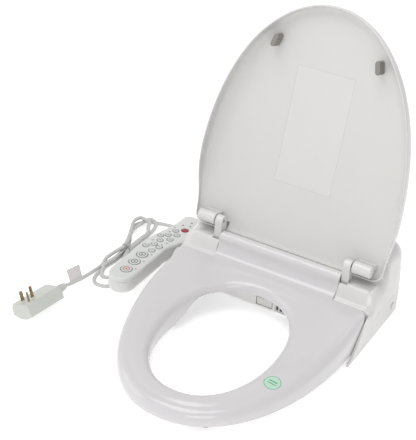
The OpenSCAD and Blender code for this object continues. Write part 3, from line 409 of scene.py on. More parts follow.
tie_grey = moulded("tie plastic", (0.4, 0.4, 0.39), 0.4, 0.00002, 0.05)
s = np.linspace(0, 2 * np.pi, 64, endpoint=False)
tie_path = np.column_stack([0 * s, 8.6 * np.sign(np.cos(s)) * np.abs(np.cos(s)) ** 0.55,
                            11.4 + 10.9 * np.sign(np.sin(s)) * np.abs(np.sin(s)) ** 0.55])
twist = in_hank(np.column_stack([tie_path[:, 0], tie_path[:, 1], tie_path[:, 2]]))
section = np.array([[-2.2, -0.5], [2.2, -0.5], [2.6, 0], [2.2, 0.5], [-2.2, 0.5], [-2.6, 0]])
out = np.column_stack([np.cos(s)[:, None] * hank_across, np.sin(s)])
tie_grid = (twist[:, None] + section[None, :, :1] * np.append(hank_along, 0)
            + section[None, :, 1:] * out[:, None])
tie = surface("hank_tie", tie_grid, ring=True, loop=True)
soften(tie, 50)
fit_out(tie, "main", tie_grey, "dark_plastic", "cord_tie")

paper = Finish("flag paper", Roughness=0.62)
px, py, pz = paper.parts()
bars = ((py * 260.0).fract() > 0.62) * ((pz * 420.0).fract() > 0.3)
paper.feed("Base Color", paper.blend((0.8, 0.78, 0.77), (0.33, 0.27, 0.28), bars * 0.9))
u = np.linspace(-17.5, 17.5, 13)
v = np.linspace(3.4, 25.5, 9)
uu, vv = np.meshgrid(u, v, indexing="ij")
bend = 1.2 * np.sin(uu / 11.0) * (vv / 25) + 1.4 * (vv / 25) ** 2
flag_face = np.stack([bend, uu, vv], -1)
flag_grid = np.concatenate([flag_face + [0.28, 0, 0], flag_face[:, ::-1] - [0.28, 0, 0]], 1)
flag = surface("cord_flag", posed(flag_grid[::-1], (-321, -224, 9), ("Z", -2), ("X", -10), ("Y", -32)))
soften(flag, 50)
fit_out(flag, "main", paper, "paper", "cord_tag")


# ---------- Top cover ----------
# One injection-moulded shell: rounded shoulders beside the seat, a saddle under the hinge, and a hump
# over the works. The hinge trough and the slots for the posts are cut through it.

gloss_white = moulded("cover plastic", (0.70, 0.69, 0.685), 0.13, 0.000012, 0.008)
seat_y, lid_y, lid_z = -59.0, -54.0, 120.0
cradle = math.hypot(20, 25) + 2.5


def ease(t):
    """Rises from 0 to 1 with level ends: three t squared less two t cubed."""
    t = np.clip(t, 0, 1)
    return t * t * (3 - 2 * t)


def body_half(y):
    """Half width of the body: straight sides, then a round corner of 48 at the back."""
    return 144 + 48 * np.sqrt(1 - np.clip((y - 27) / 48, 0, 0.999) ** 2)


def cover_stations():
    """Places along the body and the cover's height there."""
    rad = np.radians
    front = [(-90.4, 52), (-90.4, 58)] + [(-90.4 + 6 * (1 - math.cos(a)), 60 + 6 * math.sin(a))
                                         for a in rad([8, 30, 52, 74, 90])]
    saddle = [(-84.4 + 18.4 * t, 66 + 24 * float(ease(t))) for t in np.arange(0.1, 1.01, 0.1)]
    flat = [(-60, 90), (-50, 90), (-41, 90)]
    arc = [(lid_y + cradle * math.cos(a), lid_z + cradle * math.sin(a))
           for a in rad([-58, -50, -40, -30, -20, -10, 0])]
    wall = [(-19.0, 127), (-18.3, 132)]
    brow = [(-18.1 + 6 * (1 - math.cos(a)), 134 + 6 * math.sin(a)) for a in rad([15, 40, 65, 90])]
    roof = [(y, 140 - 8 * float(ease((y + 19.5) / 90))) for y in (-6, 4, 14, 27)]
    back = [(27 + 48 * math.sin(a), 134 - 26 * (1 - math.cos(a))) for a in rad([15, 30, 45, 60, 72, 80])]
    return np.array(front[2:] + saddle + flat + arc + wall + brow + roof + back + [(74.7, 104), (75, 100)])


def cover_form(inset, arc_points):
    """The shell's cross-section, a box with round shoulders, carried along the stations."""
    st = cover_stations()
    y = st[:, 0] + inset * (1 - 2 * ease((st[:, 0] + 9.5) / 82.5))
    h, x = st[:, 1] - inset, body_half(st[:, 0]) - inset
    z0 = 44.0 - inset
    r = np.minimum(24, (h - 44) * 0.7)
    a = np.linspace(0, np.pi / 2, arc_points)
    side_z = h[:, None] - r[:, None] * (1 - np.sin(a))
    side_x = x[:, None] - r[:, None] * (1 - np.cos(a)) - 0.05 * (side_z - z0)
    low = np.array([z0, z0 + 0.4, z0 + 2.5])
    side_x = np.hstack([np.repeat(x[:, None], 3, 1), side_x])
    side_z = np.hstack([np.repeat(low[None], len(x), 0), side_z])
    ring_x = np.hstack([-side_x, side_x[:, ::-1], x[:, None] - 1, -(x[:, None] - 1)])
    ring_z = np.hstack([side_z, side_z[:, ::-1], z0 + 0 * x[:, None], z0 + 0 * x[:, None]])
    return np.stack([ring_x, np.repeat(y[:, None], ring_x.shape[1], 1), ring_z], -1)


def prism_x(name, profile, x0, x1):
    """A profile of y and z carried from x0 to x1."""
    p = np.asarray(profile, float)
    return surface(name, np.stack([np.column_stack([0 * p[:, 0] + x, p]) for x in (x0, x1)]))


def trough_profile(e):
    """The hinge trough from the side, larger all round by e."""
    low, r = 61.6 - e, seat_y + 14.5 + e
    return [(-100, low), (-79, low), (-70, 70 - e), (r, 70 - e),
            (r, 86), (r + 5, 91), (-24, 200), (-100, 200)]


def block(name, low, high):
    """A plain box between two corners."""
    low, high = np.array(low, float), np.array(high, float)
    corner = np.array([[0, 0], [1, 0], [1, 1], [0, 1]])
    rows = [np.column_stack([low[:2] + corner * (high - low)[:2], np.full(4, z)]) for z in (low[2], high[2])]
    return surface(name, np.stack(rows))


cover = surface("body_cover", cover_form(0, 10))
inner = surface("cover_inner", cover_form(2.6, 6))
for side in (-1, 1):
    slot_cut = block("slot", sorted((side * 118.9, side * 133.3))[:1] + [-68.3, 38],
                     sorted((side * 118.9, side * 133.3))[1:] + [-39.7, 200])
    cover = carve(cover, slot_cut)
keep = prism_x("keep", trough_profile(2.6), -121.6, 121.6)
inner = carve(inner, keep)
cover = carve(cover, prism_x("trough", trough_profile(0), -119, 119))
cover = carve(cover, inner)
edge_break(cover, 0.5, 3, 40)
soften(cover, 34)
fit_out(cover, "main", gloss_white, "white_gloss", "top_cover")


# ---------- Base, hinge posts, pads and screws ----------
# The base tray closes the body below and wraps the seat's flanks with two thin wings. Two posts stand
# in it for both hinges. Pads and screws are underneath.

base_white = moulded("base plastic", (0.68, 0.675, 0.665), 0.3, 0.00002, 0.01)
rubber = moulded("rubber", (0.42, 0.4, 0.375), 0.62, 0.00004, 0.05)
steel = Finish("screw steel", Metallic=1.0)
brush = steel.noise(90.0, 4.0, 0.6)
steel.feed("Base Color", steel.blend((0.5, 0.51, 0.52), (0.66, 0.67, 0.68), brush))
steel.feed("Roughness", brush * 0.2 + 0.2)

refined("base_shell", "main", base_white, "white_gloss", 0.4, 2)
for post in ("hinge_post_left", "hinge_post_right"):
    refined(post, "main", gloss_white, "white_gloss", 1.3, 4)
refined("base_pads", "main", rubber, "grey_rubber", 0.4)
refined("base_screws", "main", steel, "steel", 0.12, 1)


# ---------- Works inside the body ----------
# Water tank with its heater, inlet valve and hoses, the main board, and the dryer's fan, motor and
# duct. They are seen only when the body is opened.

tank_plastic = moulded("tank plastic", (0.66, 0.665, 0.64), 0.4, 0.00003, 0.03)
dark = moulded("dark plastic", (0.055, 0.058, 0.062), 0.42, 0.00003, 0.06)
circuit = Finish("circuit board")
track = circuit.node("ShaderNodeTexVoronoi", {"feature": "DISTANCE_TO_EDGE", "distance": "CHEBYCHEV"},
                     {"Vector": circuit.point, "Scale": 210.0}, out="Distance")
lines = track.ramp(0.03, 0.07)
circuit.feed("Base Color", circuit.blend((0.05, 0.2, 0.1), (0.02, 0.105, 0.055), lines))
circuit.feed("Roughness", lines * 0.15 + 0.3)
circuit.relief(lines, 0.00005)

for node_name, finish, place in (
        ("water_tank", tank_plastic, "clear_white"), ("tank_heater", steel, "steel"),
        ("inlet_valve", dark, "dark_plastic"), ("water_hoses", rubber, "grey_rubber"),
        ("main_board", circuit, "board"), ("fan_housing", dark, "dark_plastic"),
        ("fan_motor", steel, "steel"), ("air_duct", tank_plastic, "clear_white"),
        ("wand_guides", dark, "dark_plastic"), ("wand_motors", steel, "steel")):
    refined(node_name, "main", finish, place, 0.5, 2)
refined("fan_wheel", "fan", tank_plastic, "clear_white", 0.0)


# ---------- Supply: threaded inlet and cord gland ----------
# A plastic G1/2 nipple with a hexagon collar stands out of the side behind the arm, and the cord
# leaves through a ribbed rubber gland below it.

nipple_white = moulded("nipple plastic", (0.7, 0.7, 0.69), 0.36, 0.00002, 0.02)
refined("inlet_nipple", "main", nipple_white, "clear_white", 0.3)
refined("cord_gland", "main", pvc, "cord_pvc", 0.5, 3)


# ---------- Nose, outlet grille and spray wands ----------
# Under the seat the nose closes the body. Its two ports hold the wands' square caps, and a slatted grille
# beside them lets out the warm air. A thin dark line of painted shade round the ports stands for the gap.

# The nose's white is paler than the other white parts: painted light that makes up for the shade under the
# seat.
nose_white = moulded("nose plastic", (0.8, 0.795, 0.785), 0.3, 0.00002, 0.01)
nx, ny, nz = nose_white.parts()
ports_x, ports_z, ports_half_w, ports_half_h = -0.005, 0.0145, 0.0154, 0.0075
gap_shade_w, nose_face_y = 0.0008, -0.098
# A thin dark line is painted round the ports: painted shade for the gap between the caps and the nose.
gate = (abs(nx - ports_x) - ports_half_w).high(abs(nz - ports_z) - ports_half_h)
painted_gap_shade = (gate > 0.0) * (gate < gap_shade_w) * (ny < nose_face_y)
face = nose_white.shader.inputs["Base Color"].links[0].from_socket
nose_white.feed("Base Color", nose_white.blend(Wire(nose_white, face), (0.07, 0.07, 0.07), painted_gap_shade))
refined("nose_panel", "main", nose_white, "white_satin", 0.0)
refined("air_grille", "main", nose_white, "white_satin", 0.0)
wand_white = moulded("wand plastic", (0.72, 0.72, 0.7), 0.26, 0.00001, 0.01)
for wand, body in (("wand_rear", "rear_wand"), ("wand_front", "front_wand")):
    refined(wand, body, wand_white, "white_satin", 0.5, 3)


# ---------- Mounting plate, bushes and release button ----------
# The flat plate is bolted to the bowl and the seat slides over it. The button in the right flank
# frees its latch.

refined("mounting_plate", "plate", base_white, "white_satin", 0.5)
refined("bolt_bushes", "plate", dark, "dark_plastic", 0.4)
refined("release_button", "release", base_white, "white_satin", 0.6, 3)


# ---------- Control arm ----------
# A slim two-part housing along the sitter's right: a shell that draws in below like a boat, and a
# fascia with a rounded rim. Their plan is straight, then sweeps in to the body.

arm_white = moulded("arm plastic", (0.66, 0.66, 0.65), 0.3, 0.000015, 0.01)


def arm_plan(e):
    """The arm's outline from above, anticlockwise, pulled in by e."""
    a = np.radians(np.arange(180, 361, 9))
    tip = np.column_stack([-236 + (25 - e) * np.cos(a), -204 + (27 - e) * np.sin(a)])
    t = np.linspace(0, 1, 13)
    inner_side = np.column_stack([-211 + 18.6 * ease(t) - e, -104 + 60 * t])
    b = np.radians([0, 15, 30, 45, 60, 75, 90])
    heel = np.column_stack([-192.4 - e - 8 * (1 - np.cos(b)), 18 - e + 8 * np.sin(b)])
    c = np.radians(np.arange(90, 181, 11.25))
    round_heel = np.column_stack([-227 + (16 - e) * np.cos(c), 10 + (16 - e) * np.sin(c)])
    outer_side = np.column_stack([-243 - 18 * ease(t) + e, 2 - 106 * t])
    return np.vstack([tip, [[-211 - e, -160]], inner_side, [[-192.4 - e, -20], [-192.4 - e, 4]], heel,
                      round_heel, outer_side, [[-261 + e, -150]]])


def stacked(levels):
    """Outlines pulled in by e at heights z, one above the other."""
    return np.stack([np.column_stack([arm_plan(e), np.full(len(arm_plan(e)), z)]) for e, z in levels])


def drum(name, x, y, r, z0, z1, sides=40):
    """An upright cylinder with its axis at x and y."""
    return surface(name, posed(turned_profile([r, r], [z0, z1], sides), (x, y, 0)))


keys = {"stop": (-234, -196), "wash": (-235, -168), "front_wash": (-236, -141), "dry": (-235, -82),
        "seat_heat": (-221, -70), "water_heat": (-232, -58), "night_light": (-243, -67),
        "power": (-228, -38), "self_clean": (-218, -50)}
cross = {"forward": (-247.5, -111, 70), "back": (-223.5, -103, 70),
         "weaker": (-229, -120, -15), "stronger": (-237, -99, -15)}
key_radius = {k: 10.0 if k in ("stop", "wash", "front_wash") else 4.8 for k in keys}
lamps = [(-227, -14), (-213, -10), (-217, 2)]


def oval(x, y, turn, r, half, n=40):
    """A stadium's outline: circle points pushed apart by half along its length."""
    a = np.linspace(0, 2 * np.pi, n, endpoint=False)
    px, py = r * np.cos(a) + half * np.tanh(4 * np.cos(a)), r * np.sin(a)
    c, s = math.cos(math.radians(turn)), math.sin(math.radians(turn))
    return np.column_stack([x + px * c - py * s, y + px * s + py * c])


shell = surface("arm_lower", stacked([(9.5, 17), (8, 17.05), (6.6, 17.7), (4.4, 19.3), (2.2, 21.6), (0.8, 24),
                                      (0.1, 27), (0, 32), (0.3, 38), (0.5, 43.4), (0.6, 43.9), (0.9, 44),
                                      (2.4, 44), (2.7, 43.8), (2.9, 38), (2.9, 27), (5.4, 22.6), (8.4, 20.2),
                                      (9.8, 19.6)]))
for y in (-38, -14):
    shell = carve(shell, block("tenon", (-197, y - 5, 24), (-189.4, y + 5, 38)), how="UNION")
edge_break(shell, 0.2, 1, 60)
soften(shell, 38)
fit_out(shell, "main", arm_white, "white_gloss", "arm_shell")

fascia_steps = [(6.2, 49.2), (6.0, 48.9), (6.0, 43), (5.9, 42.4), (3.6, 42.4), (3.4, 42.6), (3.3, 44.2),
                (1.0, 44.3), (0.6, 44.5), (0.5, 45), (0.5, 47.6), (0.8, 49.4), (1.5, 50.8), (2.6, 51.8),
                (4.2, 52.35), (6, 52.4), (9, 52.4)]
fascia = surface("arm_top", stacked(fascia_steps))
cuts = [drum("hole", x, y, key_radius[k] + 0.4, 40, 60) for k, (x, y) in keys.items()]
cuts += [surface("hole", np.stack([np.column_stack([oval(x, y, t, 4.6, 1.4), np.full(40, z)])
                                   for z in (40, 60)])) for x, y, t in cross.values()]
signal = (-214.6, -27)
cuts += [drum("hole", x, y, 1.7, 40, 60, 20) for x, y in lamps] + [drum("hole", *signal, 7.55, 40, 60)]
for cut in cuts:
    fascia = carve(fascia, cut)
edge_break(fascia, 0.3, 2, 50)
soften(fascia, 36)

# The fascia's print: a fine dark ring round each key and short ruled marks beside the groups.
print_white = moulded("fascia plastic", (0.67, 0.68, 0.66), 0.3, 0.000015, 0.01)
fx, fy, fz = print_white.parts()


def distance_to(fx, fy, x, y):
    """Distance in plan from a point given in millimetres."""
    dx, dy = fx - x / 1000, fy - y / 1000
    return (dx * dx + dy * dy) ** 0.5


ink = None
for k, (x, y) in keys.items():
    ring_radius = key_radius[k] + (0.8 if key_radius[k] > 6 else 1.3)
    ring = abs(distance_to(fx, fy, x, y) - ring_radius / 1000) < 0.0005
    ink = ring if ink is None else ink.high(ring)
dashes = ((-220.5, -186, 2.2), (-221.5, -158, 2.2), (-222, -131, 2.2), (-247, -88, 2.4), (-236, -46, 2.6),
          (-236.5, -27, 2.0), (-219, -83, 2.6), (-224, -93, 1.6))
for x, y, w in dashes:
    dash = (abs(fx - x / 1000) < w / 1000) * (abs(fy - y / 1000) < 0.00055)
    dash2 = (abs(fx - (x + 0.4) / 1000) < (w * 0.7) / 1000) * (abs(fy - (y - 2) / 1000) < 0.00045)
    ink = ink.high(dash).high(dash2)
for x, y, turn in cross.values():
    ink = ink.high(abs(distance_to(fx, fy, x, y) - 0.0064) < 0.0005)
ink = ink * (fz > 0.0515)
plain = print_white.shader.inputs["Base Color"].links[0].from_socket
print_white.feed("Base Color", print_white.blend(Wire(print_white, plain), (0.05, 0.055, 0.06), ink * 0.95))
fit_out(fascia, "main", print_white, "white_gloss", "arm_fascia")

refined("arm_board", "main", circuit, "board", 0.0)
red_lens = Finish("signal lens", Roughness=0.16, Coat_Weight=0.3)
lx, ly = red_lens.parts()[:2]
rim_shade = distance_to(lx, ly, *signal).ramp(0.0045, 0.0072)
red_lens.feed("Base Color", red_lens.blend((0.3, 0.002, 0.018), (0.17, 0.001, 0.01), rim_shade))
lens_r = [0.1, 8.3, 8.4, 8.4, 7.5, 7.48, 7.2, 6.4, 3, 0.1]
lens_z = [47.8, 47.8, 48, 49, 49, 52.0, 52.5, 52.75, 53.0, 53.05]
lens = surface("signal_window", posed(turned_profile(lens_r, lens_z, 48), (*signal, 0)))
soften(lens, 40)
fit_out(lens, "main", red_lens, "red_plastic", "signal_lens")


# ---------- Keys ----------
# Sprung caps of pale plastic with a softly dished top, each with a stem over its switch and a flange
# under the fascia. Generic marks are printed on them.

def key_finish(name, x, y, turn, mark, colour, ink_colour=(0.05, 0.055, 0.06)):
    """Pale key with one printed mark: ring, dot, arrow or bars, in the key's own turned frame."""
    f = moulded(name, colour, 0.32, 0.000012, 0.012)
    kx, ky, kz = f.parts()
    c, s = math.cos(math.radians(turn)), math.sin(math.radians(turn))
    dx, dy = (kx - x / 1000) * 1000, (ky - y / 1000) * 1000
    ax, ay = dx * c + dy * s, dy * c - dx * s
    if mark == "arrow":
        shape = (abs(ax) < (1.6 - ay) * 0.62) * (ay > -0.9) * (ay < 1.6)
    elif mark == "bars":
        shape = (abs(ax) < 1.9) * (abs(ay) < 0.5) + (abs(ax) < 0.5) * (abs(ay) < 1.9)
    elif mark == "dot":
        shape = (ax * ax + ay * ay) < 1.9
    else:
        rr = (ax * ax + ay * ay) ** 0.5
        shape = (abs(rr - 5.6) < 0.7).high(rr < 1.9)
    shape = shape.low(1.0) * (kz > 0.0525)
    base = f.shader.inputs["Base Color"].links[0].from_socket
    f.feed("Base Color", f.blend(Wire(f, base), ink_colour, shape))
    return f


key_white = (0.62, 0.63, 0.615)
marks = {"stop": "ring", "wash": "ring", "front_wash": "ring", "dry": "bars", "seat_heat": "dot",
         "water_heat": "dot", "night_light": "dot", "power": "bars", "self_clean": "dot"}
for k, (x, y) in keys.items():
    r = key_radius[k]
    radii = [0.2, 1.6, 2, 2, r + 0.9, r + 1, r + 1, r + 0.8, r, r, r - 0.1, r - 0.5, r - 1.1, r * 0.5, 0.2]
    levels = [37.25, 37.25, 37.6, 47.6, 47.6, 47.75, 48.45, 48.6, 48.6, 52.7, 53.2, 53.48, 53.58, 53.3, 53.2]
    cap = surface("key_" + k, posed(turned_profile(radii, levels, 56), (x, y, 0)))
    soften(cap, 40)
    ink_colour = (0.45, 0.03, 0.03) if k == "stop" else (0.05, 0.055, 0.06)
    fit_out(cap, "button_" + k + "_cap", key_finish("key " + k, x, y, 0, marks[k], key_white, ink_colour),
            "button_white", "button_" + k)
for k, (x, y, turn) in cross.items():
    rows = [(0.2, 0, 37.25), (2, 0, 37.3), (2, 0, 47.6), (5.0, 1.4, 47.6), (5.0, 1.4, 48.6), (4.2, 1.4, 48.6),
            (4.2, 1.4, 52.8), (4.05, 1.4, 53.3), (3.6, 1.3, 53.58), (1.8, 0.8, 53.4), (0.2, 0.1, 53.36)]
    cap = surface("key_" + k, np.stack([np.column_stack([oval(x, y, turn, r, h), np.full(40, z)])
                                        for r, h, z in rows]))
    soften(cap, 40)
    facing = {"forward": turn + 90, "back": turn - 90, "weaker": turn - 180, "stronger": turn}[k]
    fit_out(cap, "button_" + k + "_cap", key_finish("key " + k, x, y, facing, "arrow", key_white),
            "button_white", "button_" + k)


# ---------- Seat ring ----------
# A hollow ring moulded in gloss white: a crowned top with a wide outer rim and a tighter inner one.
# It rises to the hinge. A flat plate closes it from below, over the heater foil.

seat_white = moulded("seat plastic", (0.655, 0.64, 0.65), 0.12, 0.00001, 0.006)


def mirrored(right):
    """The right half of an outline and its mirror image, as one ring."""
    return np.vstack([right, right[-2:0:-1] * [-1, 1]])


def seat_edge():
    """The ring's outer edge from the front middle to the back: a superellipse, then a straight shoulder."""
    a = np.radians(np.arange(0, 90.1, 2.25))
    front = np.column_stack([187 * np.sin(a) ** (2 / 2.12), -130 - 332 * np.cos(a).clip(0) ** (2 / 2.25)])
    b = np.radians(np.arange(0, 91, 15))
    corner = np.column_stack([169 + 18 * np.cos(b), -109 + 18 * np.sin(b)])
    rear = [[x, -91] for x in (150, 137, 129, 123, 119, 110, 98, 84, 70, 56, 42, 28, 14, 0)]
    return mirrored(np.vstack([front, corner, rear]))


def open_point(p):
    """The point of the opening's edge, a superellipse about its own middle, that faces an outer point."""
    d = p - [0, -262]
    d = d / np.linalg.norm(d, axis=1, keepdims=True)
    along = np.where(d[:, 1] < 0, 148, 132)
    r = ((np.abs(d[:, 0]) / 102) ** 2.15 + (np.abs(d[:, 1]) / along) ** 2.15) ** (-1 / 2.15)
    return np.column_stack([r * d[:, 0], -262 + r * d[:, 1]])


def crown(y):
    """Height of the ring: level at the front, then a straight rise to the hinge."""
    return 36 + 33 * np.clip((y + 440) / 344, 0, 1)


def seat_section(p, q, arc=9):
    """Distance in from the outer edge and height, for every outer point p with its inner point q."""
    w = np.linalg.norm(q - p, axis=1)[:, None]
    py, qy = p[:, 1:], q[:, 1:]
    meets_neck = (py > -92) & (np.abs(p[:, :1]) <= 119)
    ro, ri, t = np.where(meets_neck, 0.6, 17 - 12 * ease((py + 128) / 34)), 14.0, 3.0
    zo, zi = crown(py) - 1.4, crown(qy) - 1.4
    lo = np.where((py > -92) & (np.abs(p[:, :1]) <= 120), 61.0, 9.0)
    li = 16 + 30 * ease((qy + 236) / 56)
    a = np.linspace(0, np.pi / 2, arc)[None]
    k = np.linspace(0, 1, 13)[None, 1:-1]
    tuck = np.minimum(2.6, ro / 4)
    outside = [(tuck, lo), (tuck * 0.35, lo + 1.2), (0.4 + 0 * w, np.minimum(lo + 6, zo - ro)),
               (ro * (1 - np.cos(a)), zo - ro * (1 - np.sin(a))),
               (ro + (w - ro - ri) * k, zo + (zi - zo) * k + 1.4 * 16 * k ** 2 * (1 - k) ** 2),
               (w - ri * (1 - np.sin(a)), zi - ri * (1 - np.cos(a))),
               (w - 0.2, li + 3), (w - 0.3, li + 0.5), (w - 0.8, li), (w - t, li)]
    b, rim = np.linspace(0, np.pi / 2, 4)[None], np.maximum(ro, t + 0.3)
    inside = [(w - t - (ri - t) * (1 - np.cos(b)), zi - t - (ri - t) * (1 - np.sin(b))),
              (t + (rim - t) * (1 - np.sin(b)), zo - t - (rim - t) * (1 - np.cos(b))), (tuck + t, lo)]
    pairs = [np.broadcast_arrays(x, z) for x, z in outside + inside]
    return np.hstack([x for x, z in pairs]), np.hstack([z for x, z in pairs])


edge = seat_edge()
opening = open_point(edge)
reach, level = seat_section(edge, opening)
inward = (opening - edge) / np.linalg.norm(opening - edge, axis=1, keepdims=True)
ring_grid = np.concatenate([edge[:, None] + inward[:, None] * reach[..., None], level[..., None]], -1)
ring = surface("seat_ring", ring_grid[:, ::-1], loop=True)
soften(ring, 42)

# A small round sticker of plain green sits on the ring's front, with two ruled bars.
seat_white_front = moulded("seat plastic with sticker", (0.655, 0.64, 0.65), 0.12, 0.00001, 0.006)
sx, sy, sz = seat_white_front.parts()
sticker = distance_to(sx, sy, 128, -326)
disc = (sticker < 0.0142) * (sz > 0.035)
rim = (sticker > 0.0131) * disc
bar = ((abs(sy + 0.3235) < 0.0012) + (abs(sy + 0.3285) < 0.0009)).low(1.0) * (abs(sx - 0.128) < 0.0075) * disc
sheen = seat_white_front.shader.inputs["Base Color"].links[0].from_socket
green = seat_white_front.blend((0.5, 0.71, 0.58), (0.1, 0.4, 0.23), (rim + bar).low(1.0))
seat_white_front.feed("Base Color", seat_white_front.blend(Wire(seat_white_front, sheen), green, disc))
fit_out(ring, "seat", seat_white_front, "white_gloss", "seat_top")

refined("seat_bottom", "seat", seat_white, "white_satin", 0.0)
foil = Finish("heater foil", Metallic=1.0)
crease = foil.noise(120.0, 5.0, 0.6)
foil.feed("Base Color", foil.blend((0.6, 0.6, 0.6), (0.8, 0.8, 0.79), crease))
foil.feed("Roughness", crease * 0.25 + 0.2)
refined("seat_heater", "seat", foil, "steel", 0.0)
refined("seat_neck", "seat", seat_white, "white_gloss", 0.3, 3, 50)
refined("seat_dampers", "seat", dark, "dark_plastic", 0.3)
refined("seat_buffers", "seat", rubber, "grey_rubber", 1.0, 3)


# ---------- Lid ----------
# One dished moulding of 3 mm: a crowned back, a round-edged skirt, and a smooth inner face. Two
# knuckles hold the dampers that slow it, and two rubber buffers stand inside near its tip.

lid_white = moulded("lid plastic", (0.65, 0.64, 0.625), 0.2, 0.00001, 0.006)
lid_turn = Matrix.Translation((0, lid_y / 1000, lid_z / 1000)) @ Matrix.Rotation(math.radians(-106), 4, "X")


def lid_edge():
    """The lid's outline in its own flat frame: a superellipse at the tip, straighter at the hinge."""
    a = np.radians(np.arange(0, 90.1, 3))
    tip = np.column_stack([194 * np.sin(a) ** (2 / 2.03), -90 - 328 * np.cos(a).clip(0) ** (2 / 2.15)])
    v = np.array([77, 64, 52, 40, 29, 18])
    flank = np.column_stack([194 - 9 * ease((90 - v) / 90), -v])
    b = np.radians(np.arange(0, 91, 15))
    corner = np.column_stack([167 + 18 * np.cos(b), 2 + 18 * np.sin(b)])
    rear = [[x, 20] for x in (154, 143, 133, 119.5, 107, 93, 80, 60, 40, 20, 0)]
    return mirrored(np.vstack([tip, flank, corner, rear]))


lid_rim = lid_edge()
lid_mid = np.array([0, -185])
v = -lid_rim[:, 1]
skirt = (-2 + 8 * ease((v - 330) / 88)) * (1 - ease((130 - v) / 110)) + 12 * ease((130 - v) / 110)


def level_row(d, up, share):
    """The outline drawn in by d, at a share of the height between the skirt's edge and the outer face."""
    way = lid_mid - lid_rim
    q = lid_rim + way * d / np.linalg.norm(way, axis=1, keepdims=True)
    return np.column_stack([q, skirt + (25 - skirt) * share + up])


def dome_row(f, up):
    """The outline scaled to f about the middle, on the crown."""
    q = lid_mid + (lid_rim - lid_mid) * f
    return np.column_stack([q, np.full(len(q), 25 + 8 * (1 - f * f / 0.8) + up)])


lid_rows = [dome_row(f, -3) for f in (0.015, 0.12, 0.25, 0.5, 0.74)]
skirt_levels = ((20, -3, 1), (12, -3.8, 1), (7, -5.6, 1), (4.4, -5, 0.85), (3.7, 0, 0.45), (3.4, 0, 0.2),
                (3.0, 0, 0.02), (2.7, 0, 0), (0.8, 0, 0), (0.3, 0.5, 0), (0, 1, 0.1), (0.3, 0, 0.6),
                (1.6, -2, 0.9), (4.2, -2.2, 1), (9, -0.7, 1), (17, 0, 1))
lid_rows += [level_row(*r) for r in skirt_levels]
lid_rows += [dome_row(f, 0) for f in (0.74, 0.5, 0.25, 0.12, 0.015)]
lid = surface("lid_panel", np.stack(lid_rows))
subdivide(lid, 2)
for side in (-1, 1):
    inner_x, outer_x = sorted((side * 118.6, side * 133.9))
    lid = carve(lid, block("notch", (inner_x, 5, -1), (outer_x, 26, 34)))
edge_break(lid, 0.6, 3, 50)
lid = baked(lid)
lid.data.transform(lid_turn)
soften(lid, 38)

# Where a label would be, the inner face has a plain matte rectangle.
lid_place = lid_white.node("ShaderNodeMapping", {"vector_type": "TEXTURE"},
                           {"Vector": lid_white.point, "Location": (0, lid_y / 1000, lid_z / 1000),
                            "Rotation": (math.radians(-106), 0, 0)})
mx, my, mz = lid_white.parts(lid_place)
along, across = (my + 0.185) * 4.29, mx * 5.15
inside = (mz + (along * along + across * across) * 0.01) < 0.0315
half_w, half_l, border_w = 0.054, 0.1045, 0.0005
patch = (abs(mx) < half_w) * (abs(my + 0.2) < half_l) * inside
border = patch - (abs(mx) < half_w - border_w) * (abs(my + 0.2) < half_l - border_w) * inside
face = lid_white.shader.inputs["Base Color"].links[0].from_socket
gloss = lid_white.shader.inputs["Roughness"].links[0].from_socket
tint = lid_white.blend((0.655, 0.65, 0.64), (0.42, 0.42, 0.42), border)
lid_white.feed("Base Color", lid_white.blend(Wire(lid_white, face), tint, patch * 0.8))
lid_white.feed("Roughness", Wire(lid_white, gloss) + patch * 0.22)
fit_out(lid, "lid", lid_white, "white_gloss", "lid_shell")

barrel_r = [0.1, 9.6, 10.5, 10.9, 11, 11, 10.9, 10.5, 9.6, 0.1]
barrel_x = [135.4, 135.4, 135.7, 136.3, 137.4, 167.4, 168.5, 169.1, 169.4, 169.4]
for side in (-1, 1):
    drum_x = posed(turned_profile(barrel_r, barrel_x, 64), (0, 0, 0), ("Y", 90)) * [side, 1, 1]
    near_x, far_x = sorted((side * 135.8, side * 169))
    knuckle = surface("lid_knuckle", drum_x if side > 0 else drum_x[:, ::-1])
    knuckle = carve(knuckle, block("web", (near_x, -10, 4), (far_x, -1.4, 21.6)), how="UNION")
    knuckle.data.transform(lid_turn)
    soften(knuckle, 40)
    fit_out(knuckle, "lid", gloss_white, "white_gloss", "lid_knuckles")
refined("lid_dampers", "lid", dark, "dark_plastic", 0.3)
buffer_grey = moulded("buffer rubber", (0.24, 0.225, 0.21), 0.6, 0.00004, 0.05)
refined("lid_buffers", "lid", buffer_grey, "grey_rubber", 1.4, 3)


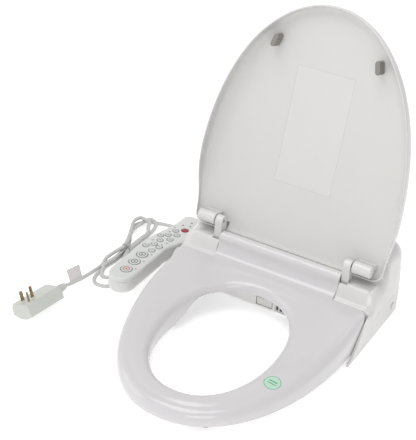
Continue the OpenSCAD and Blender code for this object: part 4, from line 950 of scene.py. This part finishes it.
# ---------- Floor and lights ----------
# A white sweep under four wide soft lights: a large one above, a fill from the left, one low in front
# for the flanks and the neck, and one behind that lights the hump.

floor_white = Finish("floor", Base_Color=(0.93, 0.93, 0.93), Roughness=0.9, Specular_IOR_Level=0.1,
                     Emission_Color=(1, 1, 1), Emission_Strength=0.42)
far = 9000.0
floor_grid = np.array([[[-far, -far, 0], [far, -far, 0]], [[-far, far, 0], [far, far, 0]]])
floor = surface("floor", floor_grid, ring=False, ends=False)
floor.data.materials.append(floor_white.material)


def panel(name, where, target, width, height, power):
    """A soft rectangular lamp of so many metres and watts that faces the target."""
    data = bpy.data.lights.new(name, "AREA")
    data.shape, data.size, data.size_y, data.energy = "RECTANGLE", width, height, power
    made = bpy.data.objects.new(name, data)
    way = Vector(target) - Vector(where)
    made.matrix_world = Matrix.Translation(where) @ way.to_track_quat("-Z", "Y").to_matrix().to_4x4()
    scene.collection.objects.link(made)


panel("key", (-0.4, -0.7, 2.6), (0, -0.2, 0.1), 1.9, 1.5, 31)
panel("fill", (-2.3, -1.1, 1.1), (0, -0.2, 0.15), 1.6, 1.6, 10)
panel("front", (1.2, -2.6, 1.5), (0, -0.2, 0.2), 1.4, 1.0, 15)
panel("back", (0.7, 1.7, 1.6), (0, 0, 0.2), 1.6, 0.8, 9)

world = bpy.data.worlds.new("studio")
scene.world = world
world.use_nodes = True
tree = world.node_tree
sky = tree.nodes["Background"]
path = tree.nodes.new("ShaderNodeLightPath")
seen = tree.nodes.new("ShaderNodeMath")
seen.operation = "MAXIMUM"
tree.links.new(path.outputs["Is Camera Ray"], seen.inputs[0])
tree.links.new(path.outputs["Is Glossy Ray"], seen.inputs[1])
strength = tree.nodes.new("ShaderNodeMapRange")
strength.inputs[3].default_value, strength.inputs[4].default_value = 0.42, 1.0
tree.links.new(seen.outputs[0], strength.inputs[0])
tree.links.new(strength.outputs[0], sky.inputs["Strength"])
sky.inputs["Color"].default_value = (1, 1, 1, 1)

scene.render.resolution_x, scene.render.resolution_y = 416, 440
scene.view_settings.view_transform = "Standard"
scene.render.film_transparent = False
